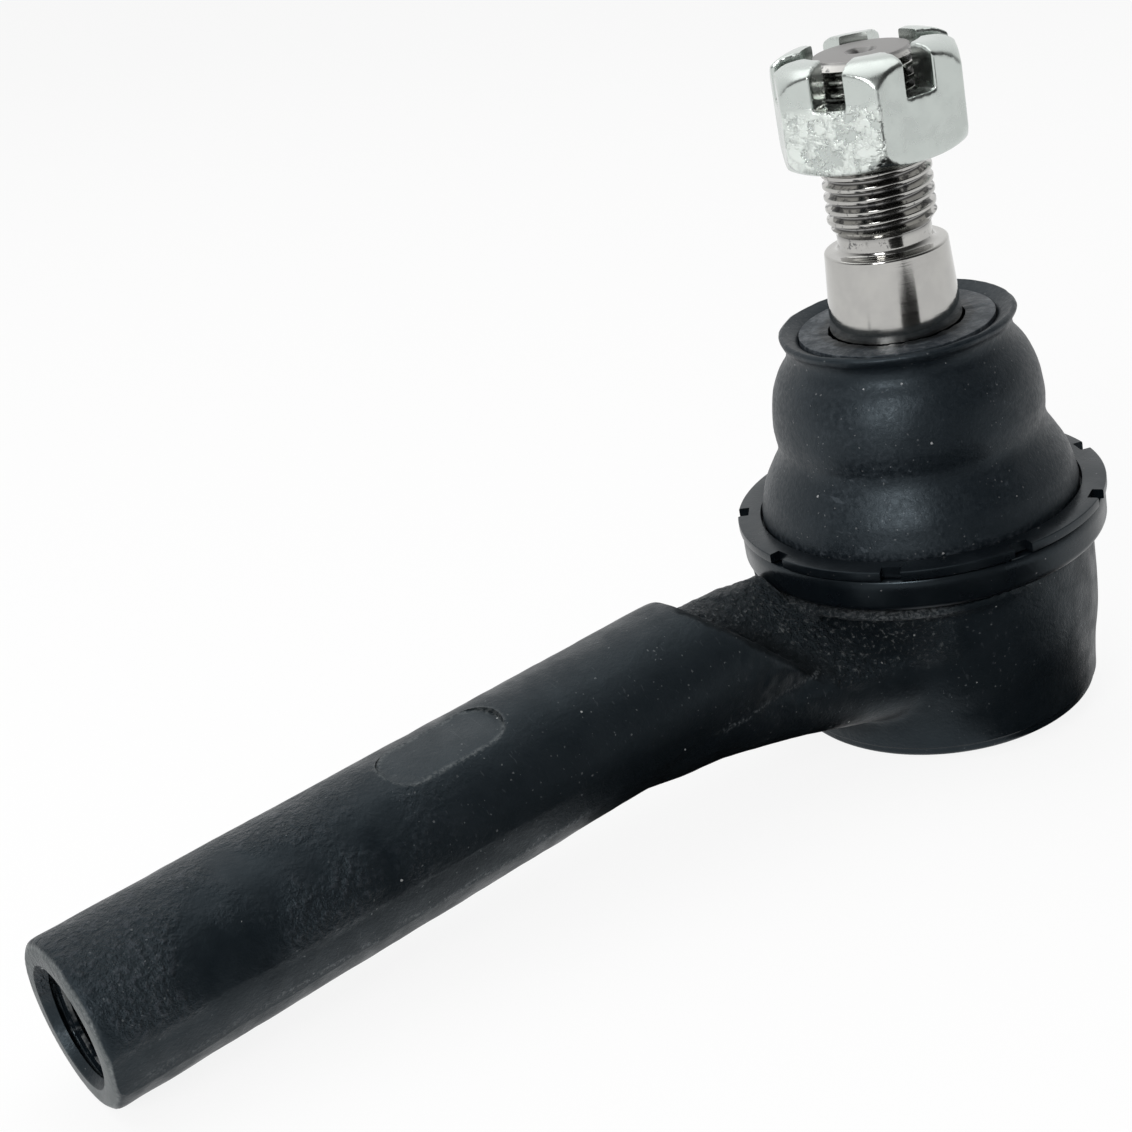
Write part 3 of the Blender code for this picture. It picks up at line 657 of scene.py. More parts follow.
def collar_rubber(settings):
    """Greyer rubber, blotched, with painted shade where it meets the taper."""
    collar = Finish("collar_rubber")
    x, y, _ = collar.split(collar.place)
    bore = COLLAR_BORE / MM
    soft = collar.noise(0.16, 4.0)
    fine = collar.noise(1.4, 4.0, 0.65)
    blotch = collar.noise(0.5, 5.0, 0.7)
    # Painted shade: a ragged dark ring round the bore, where the collar meets the taper
    taper_shade = (collar.distance(x, y) - blotch * 3.0).between(bore, bore - 0.7)
    worn = blotch.between(0.44, 0.60) * fine.between(0.25, 0.6)
    collar.shade = settings.collar
    collar.lay(worn * 0.8, (0.10, 0.11, 0.12))
    collar.lay(taper_shade * 0.9, (0.002, 0.0025, 0.003))
    return collar.done(blotch + fine * 0.5, 0.14, Roughness=soft.between(0.3, 0.7, 0.36, 0.58),
                       Specular_IOR_Level=0.3, Specular_Tint=RUBBER_TINT)


def polished_steel(settings):
    """Ground steel with turning lines, oil smears and painted shade in the thread roots, and a dull end face.
    """
    steel = Finish("polished_steel")
    x, y, z = steel.split(steel.place)
    radius = steel.distance(x, y)
    top = STUD_HIGH.z / MM
    crest = settings.thread_radius / MM
    root = crest - settings.thread_depth / MM
    rings = steel.noise(1.0, squeezed=(0.02, 0.02, 6.0))
    soft = steel.noise(0.3)
    fine = steel.noise(2.5)
    on_thread = z.between(top - 23.0, top - 22.0)
    on_relief = z.between(top - 25.0, top - 24.4)
    smear = steel.noise(0.55, squeezed=(1, 1, 0.5)).between(0.54, 0.62)
    spots = steel.noise(0.75, 4.0, 0.65).between(0.58, 0.66)
    # Painted shade: every thread root is darkened; the smears and spots are oil and dirt
    roots = radius.between(root + 0.34, root + 0.05) * 0.7
    grime_and_root_shade = roots.most(smear * radius.between(crest, crest - 0.15)) * on_thread
    grime_and_root_shade = grime_and_root_shade.most(spots * on_relief * radius.between(crest + 0.7, crest + 0.4))
    end = z.between(top - 0.12, top - 0.04)
    steel.shade = settings.steel
    steel.lay(soft.between(0.3, 0.7), (0.43, 0.425, 0.41))
    steel.lay(grime_and_root_shade * soft.between(0.2, 0.6, 0.75, 1.0), settings.oil_and_root_shade)
    steel.lay(end, (0.30, 0.295, 0.29))
    dull = rings.between(0.3, 0.7, 0.09, 0.14).most(end * 0.5).most(grime_and_root_shade * 0.3)
    return steel.done(rings + fine * (end * 3.0), 0.003, Roughness=dull, Metallic=1.0)


def zinc_plate(settings):
    """Bright zinc, with a flaky pale film on one flat."""
    plate = Finish("zinc_plate")
    x, y, z = plate.split(plate.place)
    top = NUT_HIGH.z / MM
    flat = settings.across_flats / MM / 2
    facing = settings.turn - math.radians(60)
    depth = x * math.cos(facing) + y * math.sin(facing)
    soft = plate.noise(0.30, 3.0, 0.6)
    fine = plate.noise(0.9, 5.0, 0.7)
    folds = abs(plate.noise(0.55, 5.0, 0.62) - 0.5)
    patch = plate.noise(0.42, 5.0, 0.66).between(0.40, 0.53)
    film = depth.between(flat - 0.35, flat - 0.1) * z.between(top - 4.0, top - 6.5) * patch
    crease = folds.between(0.05, 0.0) * film
    plate.shade = settings.zinc
    plate.lay(film, settings.film)
    plate.lay(crease * 0.22, (0.40, 0.43, 0.42))
    height = film + fine * (film + 0.12) - crease * 0.6
    dull = soft.between(0.3, 0.7, 0.20, 0.30) + film * 0.12
    return plate.done(height, 0.07, Roughness=dull, Metallic=1.0 - film * 0.5)


def plain_metal(name, base, worn, roughness):
    """Pressed steel with soft mottling and turning lines."""
    metal = Finish(name)
    soft = metal.noise(0.25, 4.0)
    rings = metal.noise(1.0, 2.0, squeezed=(0.3, 0.3, 4.0))
    metal.shade = base
    metal.lay(soft.between(0.35, 0.7), worn)
    return metal.done(soft + rings, 0.03, 0.8, Metallic=0.8,
                      Roughness=soft.between(0.3, 0.7, roughness, roughness + 0.15))


def bearing_plastic():
    """Pale acetal plastic, greased."""
    plastic = Finish("bearing_plastic")
    soft = plastic.noise(0.2, 4.0)
    plastic.shade = (0.74, 0.73, 0.68)
    plastic.lay(soft.between(0.4, 0.75), (0.60, 0.57, 0.48))
    return plastic.done(soft, 0.04, 0.6, Roughness=soft.between(0.3, 0.7, 0.3, 0.45))


# The forged housing

def socket_blank(outline_top):
    """The socket's outside, solid, from its spigot down to its rolled foot."""
    radius = HOUSING_HIGH.x
    corners = [
        (0, SPIGOT_TOP),
        (SPIGOT_RADIUS, SPIGOT_TOP, 0.5 * MM),
        (SPIGOT_RADIUS, outline_top),
        (radius, outline_top, 0.5 * MM),
        (radius, 15.0 * MM, 2 * MM),
        (radius - 0.2 * MM, 10.7 * MM, 2 * MM),
        (radius - 0.85 * MM, 7.0 * MM, 1.5 * MM),
        (radius - 1.15 * MM, 3.3 * MM, 1.5 * MM),
        (radius - 1.25 * MM, 0),
        (0, 0),
    ]
    return turn("housing", rounded(corners))


def stem_blank(settings):
    """The round stem, with an eased end and its slanted shoulder."""
    radius = settings.stem_radius
    far = -HOUSING_LOW.x
    near = settings.shoulder - 20 * MM
    stem = turn("stem", rounded([(0, far), (radius, far, 1.1 * MM), (radius, near), (0, near)]), 128)
    lay_along_stem(stem, settings.stem_height)
    slant = Vector((1, 0, SHOULDER_SLOPE)).normalized()
    return trim(stem, (-settings.shoulder, 0, settings.stem_height + radius), slant)


def neck_sections():
    """Stations of the neck: place along X, top, foot, half width, squareness and the top's two leans."""
    stations = [
        (-60.0, 29.0, 13.4, 8.8, 2.0, 0.0, 0.0),
        (-52.0, 29.3, 11.6, 9.2, 2.0, 0.0, 0.0),
        (-45.0, 28.6, 10.9, 9.3, 2.1, 0.2, 0.5),
        (-41.5, 27.6, 10.3, 9.3, 2.3, 0.45, 0.9),
        (-38.0, 26.4, 9.7, 9.4, 2.5, 0.55, 1.05),
        (-34.5, 25.4, 9.0, 9.7, 2.7, 0.6, 0.85),
        (-31.0, 24.7, 8.1, 10.0, 2.8, 0.6, 0.65),
        (-27.0, 23.6, 7.0, 10.6, 2.9, 0.57, 0.55),
        (-23.0, 22.6, 6.1, 11.7, 3.0, 0.5, 0.5),
        (-20.0, 22.0, 5.5, 12.9, 3.0, 0.45, 0.45),
        (-16.5, 21.6, 5.1, 14.0, 3.0, 0.4, 0.4),
    ]
    return [(x * MM, top * MM, foot * MM, half * MM, power, far, near)
            for x, top, foot, half, power, far, near in stations]


def neck_blank(settings, count=96):
    """The neck between stem and socket, extruded from section to section."""
    sections = neck_sections()
    calm()
    bpy.ops.mesh.primitive_circle_add(vertices=count, radius=settings.stem_radius, fill_type="NGON")
    neck = name_last("neck")
    edit(neck)
    for before, after in zip(sections, sections[1:]):
        bpy.ops.mesh.extrude_region_move(TRANSFORM_OT_translate={"value": (after[0] - before[0], 0, 0)})
    calm()
    for point in neck.data.vertices:
        x, top, foot, half, power, far, near = sections[point.index // count]
        angle = FULL_TURN * (point.index % count) / count
        across, up = math.sin(angle), math.cos(angle)
        reach = (abs(across) ** power + abs(up) ** power) ** (-1 / power)
        across, up = across * reach * half, up * reach
        lean = far if across > 0 else near
        rise = (top - foot) / 2 * up + lean * across * max(0.0, up)
        point.co = (x, across, (top + foot) / 2 + rise)
    edit(neck)
    return close_up(neck)


def ledge_blank():
    """The rest of a disc that the lathe left on the neck's side under the band."""
    radius, top = BAND_HIGH.x - 2.1 * MM, BAND_LOW.z - CLEARANCE
    foot = top - 1.4 * MM
    ledge = turn("ledge", [(0, top), (radius, top), (radius - 0.3 * MM, foot), (0, foot)])
    return settle(ledge, Matrix.Translation((-2.1 * MM, 0, 0)))


def shoulder_cutter():
    """What the lathe takes off above the socket's shoulder, round its spigot."""
    outer, foot = BAND_HIGH.x + 0.5 * MM, BAND_LOW.z - CLEARANCE
    top = HOUSING_HIGH.z + OVERRUN
    return turn("shoulder", [(SPIGOT_RADIUS, top), (outer + 0.3 * MM, top), (outer, foot),
                             (SPIGOT_RADIUS, foot), (SPIGOT_RADIUS, top)])


def pad_cutter(settings):
    """Cuts the small flat on top of the stem, with round ends."""
    calm()
    bpy.ops.mesh.primitive_plane_add(size=1.0)
    pad = settle(name_last("pad"), Matrix.Diagonal((16.4 * MM, 7.4 * MM, 1, 1)))
    edit(pad)
    bpy.ops.mesh.bevel(offset=3.6 * MM, segments=8, affect="VERTICES")
    bpy.ops.mesh.select_all(action="SELECT")
    bpy.ops.mesh.extrude_region_move(TRANSFORM_OT_translate={"value": (0, 0, 6 * MM)})
    close_up(pad)
    return settle(pad, Matrix.Translation((-settings.pad_place, 0, settings.stem_height))
                  @ Matrix.Rotation(settings.pad_turn, 4, "X")
                  @ Matrix.Translation((0, 0, settings.stem_radius - settings.pad_depth)))


def land_cutter(settings, side):
    """Cuts the flat strip along one side of the stem, where the flash was trimmed."""
    size = (84 * MM, 6 * MM, 12 * MM)
    place = Vector((0, 0, settings.stem_radius * math.cos(math.radians(13)) + size[2] / 2))
    return settle(block("land", size, place), Matrix.Translation((-91 * MM, 0, settings.stem_height))
                  @ Matrix.Rotation(side * math.radians(103), 4, "X")
                  @ Matrix.Rotation(math.radians(-0.3), 4, "Y"))


def socket_cavity():
    """What is bored out of the socket: mouth, ball seat, cover seat and the rolled rim."""
    bore = LOWER_HIGH.x + CLEARANCE
    lip = UPPER_HIGH.z + CLEARANCE
    seat = COVER_HIGH.x + CLEARANCE
    mouth = 11.9 * MM
    cover_face = COVER_FACE + CLEARANCE
    outline = [
        (0, HOUSING_HIGH.z + OVERRUN),
        (mouth + 1.1 * MM, HOUSING_HIGH.z + OVERRUN),
        (mouth + 1.1 * MM, SPIGOT_TOP),
        (mouth, lip),
    ]
    steps = 12
    start = math.asin((lip - PIVOT.z) / bore)
    for k in range(steps + 1):
        angle = start * (1 - k / steps)
        outline.append((bore * math.cos(angle), PIVOT.z + bore * math.sin(angle)))
    outline += [
        (bore, COVER_HIGH.z + CLEARANCE),
        (seat, COVER_HIGH.z + CLEARANCE),
        (seat, 1.2 * MM),
        (cover_face, 1.2 * MM),
        (cover_face, -OVERRUN),
        (0, -OVERRUN),
    ]
    return turn("cavity", outline)


def foot_envelope():
    """Everything that the lathe leaves of the socket's foot: a crisp rim line and a rolled edge."""
    wide = 200 * MM
    radius = HOUSING_HIGH.x - 1.25 * MM
    corners = [
        (0, 60 * MM),
        (wide, 60 * MM),
        (wide, 1.75 * MM),
        (radius + 0.12 * MM, 1.75 * MM, 0.1 * MM),
        (radius - 0.3 * MM, 1.35 * MM, 0.15 * MM),
        (radius - 0.3 * MM, 0.5 * MM, 0.3 * MM),
        (radius - 0.9 * MM, 0, 0.3 * MM),
        (0, 0),
    ]
    return turn("envelope", rounded(corners))


def bore_cutter(settings):
    """The stem's tapped hole with its countersink and drill point."""
    far = -HOUSING_LOW.x
    drilled = turn("bore", rounded([
        (0, far + OVERRUN),
        (7.25 * MM, far + OVERRUN),
        (7.25 * MM, far + 0.01 * MM, 0.2 * MM),
        (BORE_RADIUS, far - 1.5 * MM, 0.2 * MM),
        (BORE_RADIUS, far - BORE_LENGTH),
        (0, far - BORE_LENGTH - 3.6 * MM),
    ]), 96)
    return lay_along_stem(drilled, settings.stem_height)


def tap_cutter(settings):
    """The stem's female thread."""
    far = -HOUSING_LOW.x
    foot = far - BORE_LENGTH + 4 * MM
    tap = threaded("tap", TAP_MAJOR, TAP_MINOR, TAP_PITCH, foot, far - 1.0 * MM)
    return lay_along_stem(tap, settings.stem_height)


def forge_grain(housing, settings):
    """Rough grain on the neck, shallow dents on the stem and the parting line's thin flash."""
    line = settings.stem_height - 4.2 * MM

    def on_neck(place):
        along = step_up(place.x, -46 * MM, -39 * MM) * step_up(-place.x, 12 * MM, 20 * MM)
        return along * step_up(place.z, 15 * MM, 19 * MM)

    def on_stem(place):
        return step_up(-place.x, 20 * MM, 30 * MM) * step_up(place.x, -129.9 * MM, -127 * MM)

    def on_line(place):
        side = step_up(abs(place.y), 0.75 * settings.stem_radius, 0.85 * settings.stem_radius)
        along = step_up(-place.x, 36 * MM, 44 * MM) * step_up(place.x, -130 * MM, -124 * MM)
        wander = 0.5 * MM * math.sin(place.x / (9 * MM)) + 0.3 * MM * math.sin(place.x / (3.1 * MM))
        away = abs(place.z - line - wander) / (0.6 * MM)
        return side * along * max(0.0, 1 - away)

    roughen(housing, weigh(housing, "neck", on_neck), 1.1 * MM, settings.grain)
    roughen(housing, weigh(housing, "stem", on_stem), 5.0 * MM, 0.18 * MM)
    roughen(housing, weigh(housing, "flash", on_line), 2.2 * MM, settings.flash, 0.1)


def build_housing(settings):
    """Fuse the forging's blanks, then cut what is machined."""
    shoulder = BAND_LOW.z - CLEARANCE
    housing = socket_blank(shoulder)
    carve(housing, neck_blank(settings), "UNION")
    carve(housing, ledge_blank(), "UNION")
    carve(housing, stem_blank(settings), "UNION")
    apply_step(housing, "REMESH", mode="VOXEL", voxel_size=settings.voxel)
    ledge = BAND_LOW.z - 4 * MM

    def in_neck(place):
        along = step_up(-place.x, 12 * MM, 17 * MM) * step_up(place.x, -58 * MM, -50 * MM)
        on_ledge = step_up(place.z, ledge, ledge + MM) * step_up(-place.xy.length, -26 * MM, -25 * MM)
        return along * (1 - on_ledge)

    soft = weigh(housing, "soft", in_neck)
    apply_step(housing, "SMOOTH", factor=0.5, iterations=18, vertex_group=soft)
    apply_step(housing, "SMOOTH", factor=0.5, iterations=2)
    forge_grain(housing, settings)
    carve(housing, foot_envelope(), "INTERSECT")
    carve(housing, shoulder_cutter())
    carve(housing, pad_cutter(settings))
    carve(housing, land_cutter(settings, 1))
    carve(housing, land_cutter(settings, -1))
    carve(housing, socket_cavity())
    carve(housing, bore_cutter(settings))
    carve(housing, tap_cutter(settings))
    return housing


# Boot, rings and collar

def build_band():
    """The tall band that the boot's foot sits in."""
    radius, foot, top = BAND_HIGH.x, BAND_LOW.z, BAND_HIGH.z
    inner = BOOT_HIGH.x + CLEARANCE
    bore = radius - 5.5 * MM
    return turn("boot_base_band", rounded([
        (inner, top, 0.2 * MM),
        (radius - 0.25 * MM, top, 0.25 * MM),
        (radius, top - 0.9 * MM, 0.5 * MM),
        (radius, foot + 0.7 * MM, 0.4 * MM),
        (radius - 0.5 * MM, foot, 0.4 * MM),
        (bore, foot, 0.2 * MM),
        (bore, foot + MM, 0.2 * MM),
        (inner, foot + MM, 0.2 * MM),
    ], ring=True))


def build_ring():
    """The thin ring over the boot's foot, with its notches cut and its edges eased."""
    radius, foot, top = RING_HIGH.x, RING_LOW.z, RING_HIGH.z
    inner = radius - 3.2 * MM
    edge = 0.22 * MM
    ring = turn("boot_retaining_ring", rounded([
        (inner, top, edge),
        (radius, top, edge),
        (radius, foot, edge),
        (inner, foot, edge),
    ], ring=True, steps=3))
    notches = 9
    for i in range(notches):
        angle = math.radians(-146.1) + FULL_TURN * i / notches
        carve(ring, block("notch", (3.0 * MM, 2.6 * MM, 4 * MM), Vector((radius, 0, foot)), angle))
    return ring


def boot_side():
    """The boot's outside from the lip down to its foot, as in the photograph's outline."""
    foot, top = RING_HIGH.z, BOOT_HIGH.z
    base = RING_HIGH.x - 3.5 * MM
    points = [
        (15.15 * MM, top - 0.1 * MM),
        (15.42 * MM, top - 0.45 * MM),
        (15.3 * MM, top - 1.0 * MM),
        (14.85 * MM, top - 1.7 * MM),
        (14.72 * MM, top - 2.6 * MM),
        (15.1 * MM, top - 3.9 * MM),
        (16.4 * MM, top - 5.8 * MM),
        (17.45 * MM, top - 8.6 * MM),
        (17.95 * MM, foot + 13.0 * MM),
        (17.88 * MM, foot + 11.2 * MM),
        (17.75 * MM, BOOT_WAIST),
        (18.15 * MM, foot + 8.0 * MM),
        (19.2 * MM, foot + 6.2 * MM),
        (20.3 * MM, foot + 4.1 * MM),
        (base - 0.3 * MM, foot + 2.0 * MM),
        (base - 0.05 * MM, foot + 0.9 * MM),
        (base, foot + CLEARANCE),
    ]
    return flowing(points, 6)


def build_boot(settings):
    """The whole boot, closed, with its bead, its thin wall and the seat for the collar."""
    wall = settings.wall
    side = boot_side()
    top = BOOT_HIGH.z
    bead = BOOT_HIGH.x
    bead_top = RING_LOW.z - CLEARANCE
    inner_foot = bead - 3.6 * MM
    shelf = COLLAR_LOW.z - CLEARANCE
    lip_inner = COLLAR_HIGH.x + 0.12 * MM
    outline = [
        (lip_inner, top - 1.3 * MM),
        (lip_inner + 0.3 * MM, top - 0.95 * MM),
        (14.5 * MM, top - 0.3 * MM),
        (14.95 * MM, top - 0.05 * MM),
    ]
    outline += side
    outline += [
        (side[-1][0], bead_top),
        (bead, bead_top),
        (bead, BOOT_LOW.z),
        (inner_foot, BOOT_LOW.z),
        (inner_foot, SPIGOT_TOP + CLEARANCE),
    ]
    for radius, height in reversed(side):
        if SPIGOT_TOP + 2 * wall < height < shelf - wall:
            outline.append((radius - wall, height))
    outline += [
        (COLLAR_HIGH.x - MM, shelf - wall),
        (COLLAR_HIGH.x - MM, shelf),
        (lip_inner, shelf),
        outline[0],
    ]
    boot = turn("boot_lower", outline)

    def on_side(place):
        over_ring = step_up(place.z, RING_HIGH.z + MM, RING_HIGH.z + 5 * MM)
        return over_ring * (1 - step_up(place.z, shelf - 2 * wall, shelf - wall))

    def on_lip(place):
        outward = step_up(math.hypot(place.x, place.y), lip_inner + MM, lip_inner + 2 * MM)
        return step_up(place.z, top - 2.5 * MM, top - MM) * outward

    roughen(boot, weigh(boot, "free", on_side), 9 * MM, 0.35 * MM)
    roughen(boot, weigh(boot, "rim", on_lip), 4 * MM, 0.3 * MM)
    return boot


def part_boot(boot, height):
    """Part the boot at a height into a lower and an upper piece with closed ends."""
    choose(boot)
    bpy.ops.object.duplicate()
    upper = name_last("boot_upper")
    trim(upper, (0, 0, height), (0, 0, -1))
    trim(boot, (0, 0, height), (0, 0, 1))
    return boot, upper


def build_collar():
    """The ring set in the boot's mouth, with an uneven edge round the taper."""
    radius, foot, top = COLLAR_HIGH.x, COLLAR_LOW.z, COLLAR_HIGH.z
    bore = COLLAR_BORE
    collar = turn("boot_collar_ring", rounded([
        (bore - 0.1 * MM, top, 0.12 * MM),
        (radius, top, 0.12 * MM),
        (radius, foot, 0.3 * MM),
        (bore + 0.25 * MM, foot, 0.2 * MM),
        (bore + 0.05 * MM, top - 0.9 * MM, 0.2 * MM),
    ], ring=True))

    def on_edge(place):
        inward = step_up(-math.hypot(place.x, place.y), -bore - 3 * MM, -bore - MM)
        return inward * step_up(place.z, top - 2 * MM, top - MM)

    roughen(collar, weigh(collar, "edge", on_edge), 1.2 * MM, 0.4 * MM, 0.65)
    return collar


# Stud and nut

def build_stud(settings):
    """Ball, neck, taper and relief in one turning, with the rolled thread joined on."""
    top = STUD_HIGH.z
    thread_foot = top - 22.4 * MM
    taper_top = thread_foot - 2.3 * MM
    taper_foot = taper_top - 18.6 * MM
    major = settings.thread_radius
    minor = major - settings.thread_depth
    relief = minor - 0.03 * MM
    wide = major + 0.95 * MM
    ball = STUD_HIGH.x
    neck = 6.5 * MM
    corners = [
        (0, thread_foot + MM),
        (relief - 0.2 * MM, thread_foot + MM),
        (relief, thread_foot, 0.3 * MM),
        (relief, taper_top, 0.9 * MM),
        (wide, taper_top, 0.35 * MM),
        (wide + (taper_top - taper_foot) / 16, taper_foot, 3.6 * MM),
        (neck, taper_foot - 8 * MM, 3 * MM),
        (neck, PIVOT.z + math.sqrt(ball ** 2 - neck ** 2)),
    ]
    outline = rounded(corners, steps=6)
    start = math.asin((corners[-1][1] - PIVOT.z) / ball)
    steps = 40
    for k in range(1, steps + 1):
        angle = start - (start + math.pi / 2) * k / steps
        outline.append((ball * math.cos(angle), PIVOT.z + ball * math.sin(angle)))
    stud = turn("ball_stud", outline)
    thread = threaded("thread", major, minor, settings.pitch, thread_foot - 0.2 * MM, top)
    carve(thread, turn("blend", rounded([
        (0, top),
        (major - 1.1 * MM, top, 0.12 * MM),
        (major + 0.4 * MM, top - 1.35 * MM, 0.3 * MM),
        (major + 0.4 * MM, thread_foot + 1.9 * MM),
        (relief - 0.1 * MM, thread_foot - 0.1 * MM),
        (0, thread_foot - 0.1 * MM),
    ])), "INTERSECT")
    carve(stud, thread, "UNION")
    carve(stud, turn("centre", [(0, top + OVERRUN), (2.0 * MM, top + OVERRUN), (2.0 * MM, top),
                                (1.55 * MM, top - 0.4 * MM), (0, top - 3.0 * MM)], 48))
    return stud


def cotter_drill(settings):
    """The cross hole's drill, in line with one pair of the nut's slots."""
    calm()
    bpy.ops.mesh.primitive_cylinder_add(vertices=40, radius=1.6 * MM, depth=30 * MM)
    return settle(name_last("drill"), Matrix.Translation((0, 0, STUD_HIGH.z - 3.2 * MM))
                  @ Matrix.Rotation(settings.turn, 4, "Z") @ Matrix.Rotation(math.pi / 2, 4, "Y"))


def build_nut(settings, thread):
    """A hexagon between chamfers, slotted, eased all over and tapped."""
    foot, top = NUT_LOW.z, NUT_HIGH.z
    corner = settings.across_flats / math.sqrt(3)
    calm()
    bpy.ops.mesh.primitive_cylinder_add(vertices=6, radius=corner + 0.15 * MM, depth=top - foot)
    nut = settle(name_last("castle_nut"), Matrix.Translation((0, 0, (foot + top) / 2))
                 @ Matrix.Rotation(settings.turn, 4, "Z"))
    carve(nut, turn("chamfers", rounded([
        (0, top),
        (corner - 3.0 * MM, top, 1.2 * MM),
        (corner - 0.7 * MM, top - 1.4 * MM, 1.2 * MM),
        (corner + 0.05 * MM, top - 3.2 * MM),
        (corner + 0.05 * MM, foot + 2.3 * MM),
        (corner - 0.5 * MM, foot + 0.9 * MM, 0.8 * MM),
        (corner - 2.0 * MM, foot, 0.5 * MM),
        (0, foot),
    ]), 192), "INTERSECT")
    for i in range(3):
        size = (3 * corner, settings.slot_width, 2 * settings.slot_depth)
        carve(nut, block("slot", size, Vector((0, 0, top)), settings.turn + i * math.pi / 3))
    apply_step(nut, "REMESH", mode="VOXEL", voxel_size=settings.voxel)
    apply_step(nut, "SMOOTH", factor=0.5, iterations=12)
    bore = thread.thread_radius - thread.thread_depth + CLEARANCE
    carve(nut, turn("nut_bore", [
        (0, top + OVERRUN),
        (thread.thread_radius + 0.55 * MM, top + OVERRUN),
        (thread.thread_radius + 0.55 * MM, top - settings.slot_depth + 0.2 * MM),
        (bore, top - settings.slot_depth - MM),
        (bore, foot + 1.6 * MM),
        (bore + 1.9 * MM, foot - 0.2 * MM),
        (bore + 1.9 * MM, foot - OVERRUN),
        (0, foot - OVERRUN),
    ], 128))
    carve(nut, threaded("nut_thread", thread.thread_radius + CLEARANCE, bore, thread.pitch,
                        foot - MM, top - settings.slot_depth + MM))
    return nut


def build_cover():
    """The closing cover, with a shallow dish pressed into its face."""
    radius, foot, top = COVER_HIGH.x, COVER_LOW.z, COVER_HIGH.z
    face = COVER_FACE
    return turn("end_cover", rounded([
        (0, top),
        (radius, top, 0.25 * MM),
        (radius, foot + 1.5 * MM, 0.2 * MM),
        (face, foot + 1.5 * MM, 0.2 * MM),
        (face, foot, 0.4 * MM),
        (face - 3.6 * MM, foot, 0.8 * MM),
        (face - 4.8 * MM, foot + 0.55 * MM, 0.8 * MM),
        (0, foot + 0.55 * MM),
    ]))


# Stage

def floor_material(settings):
    """A pale floor that keeps the shadow and shows nearly white. Its underside is clear."""
    made = bpy.data.materials.new("pale_floor")
    made.use_nodes = True
    tree = made.node_tree
    tree.nodes.clear()
    matt = put(tree, "ShaderNodeBsdfDiffuse", {"Color": settings.floor})
    white = put(tree, "ShaderNodeEmission", {"Color": (1, 1, 1), "Strength": 1.0})
    path = put(tree, "ShaderNodeLightPath").outputs
    seen = Sum(tree, path["Is Camera Ray"]).most(path["Is Glossy Ray"]).most(path["Is Transmission Ray"])
    lifted = put(tree, "ShaderNodeMixShader", {0: seen * settings.lift, 1: matt.outputs[0],
                                               2: white.outputs[0]})
    under = put(tree, "ShaderNodeNewGeometry").outputs["Backfacing"]
    clear = put(tree, "ShaderNodeBsdfTransparent")
    shown = put(tree, "ShaderNodeMixShader", {0: under, 1: lifted.outputs[0], 2: clear.outputs[0]})
    put(tree, "ShaderNodeOutputMaterial", {"Surface": shown.outputs[0]})
    return made


def floor_lie(forging):
    """How the floor lies under the socket's rim and the stem's end."""
    rim = Vector((-19.9 * MM, 0, 0))
    heel = Vector((HOUSING_LOW.x, 0, forging.stem_height - forging.stem_radius))
    along = (rim - heel).normalized()
    side = Vector((0, 1, 0))
    up = along.cross(side)
    lie = Matrix((along, side, up)).transposed().to_4x4()
    return Matrix.Translation(rim - up * 0.05 * MM) @ lie


def lay_floor(settings, forging):
    """The floor that the socket's rim and the stem's end rest on."""
    calm()
    bpy.ops.mesh.primitive_plane_add(size=8.0)
    floor = name_last("floor")
    floor.matrix_world = floor_lie(forging)
    floor.data.materials.append(floor_material(settings))


def lamp(name, place, target, size, power):
    """A soft box that faces a target."""
    calm()
    bpy.ops.object.light_add(type="AREA", location=place)
    made = bpy.context.object
    made.name = name
    made.data.shape = "RECTANGLE"
    made.data.size, made.data.size_y = size
    made.data.energy = power
    made.rotation_euler = (Vector(target) - Vector(place)).to_track_quat("-Z", "Y").to_euler()


def light_sky(settings):
    """A studio that is white behind the object and dark in front of it."""
    world = bpy.data.worlds.new("studio")
    bpy.context.scene.world = world
    world.use_nodes = True
    tree = world.node_tree
    looking = put(tree, "ShaderNodeTexCoord").outputs["Generated"]
    away = Vector((0.55, 0.83, 0.0))
    facing = put(tree, "ShaderNodeVectorMath", {0: looking, 1: away}, operation="DOT_PRODUCT")
    level = Sum(tree, facing.outputs["Value"]).between(-0.55, 0.8, settings.front, settings.back)
    wire(tree, tree.nodes["Background"].inputs["Color"], level)


def lay_card(forging):
    """A black card before the object and under its neck, which only glossy surfaces mirror. Under the neck it
    is painted shade, standing for the floor's shadow there in reflections.
    """
    corners = ((-95, -20), (-44, -20), (-44, 15), (-4, 15), (-4, -20), (43, -20), (43, -130),
               (-2, -250), (-2, -460), (-145, -460), (-145, -250), (-95, -130))
    card = draw("black_card", [Vector((x, y, 1.5)) * MM for x, y in corners])
    bpy.ops.mesh.edge_face_add()
    calm()
    card.matrix_world = floor_lie(forging)
    black = bpy.data.materials.new("black_card")
    black.use_nodes = True
    set_up(black, Base_Color=(0.01, 0.01, 0.01), Roughness=0.9, Specular_IOR_Level=0.1)
    card.data.materials.append(black)
    card.visible_camera = False
    card.visible_shadow = False
    card.visible_diffuse = False


def stand_camera(settings):
    """The camera at the photograph's viewpoint."""
    calm()
    bpy.ops.object.camera_add(location=settings.camera_place, rotation=settings.camera_turn)
    camera = bpy.context.object
    camera.name = "camera"
    camera.data.sensor_width = 36.0
    camera.data.lens = settings.lens
    camera.data.clip_start = 0.01
    camera.data.clip_end = 50.0
    bpy.context.scene.camera = camera


# Operators

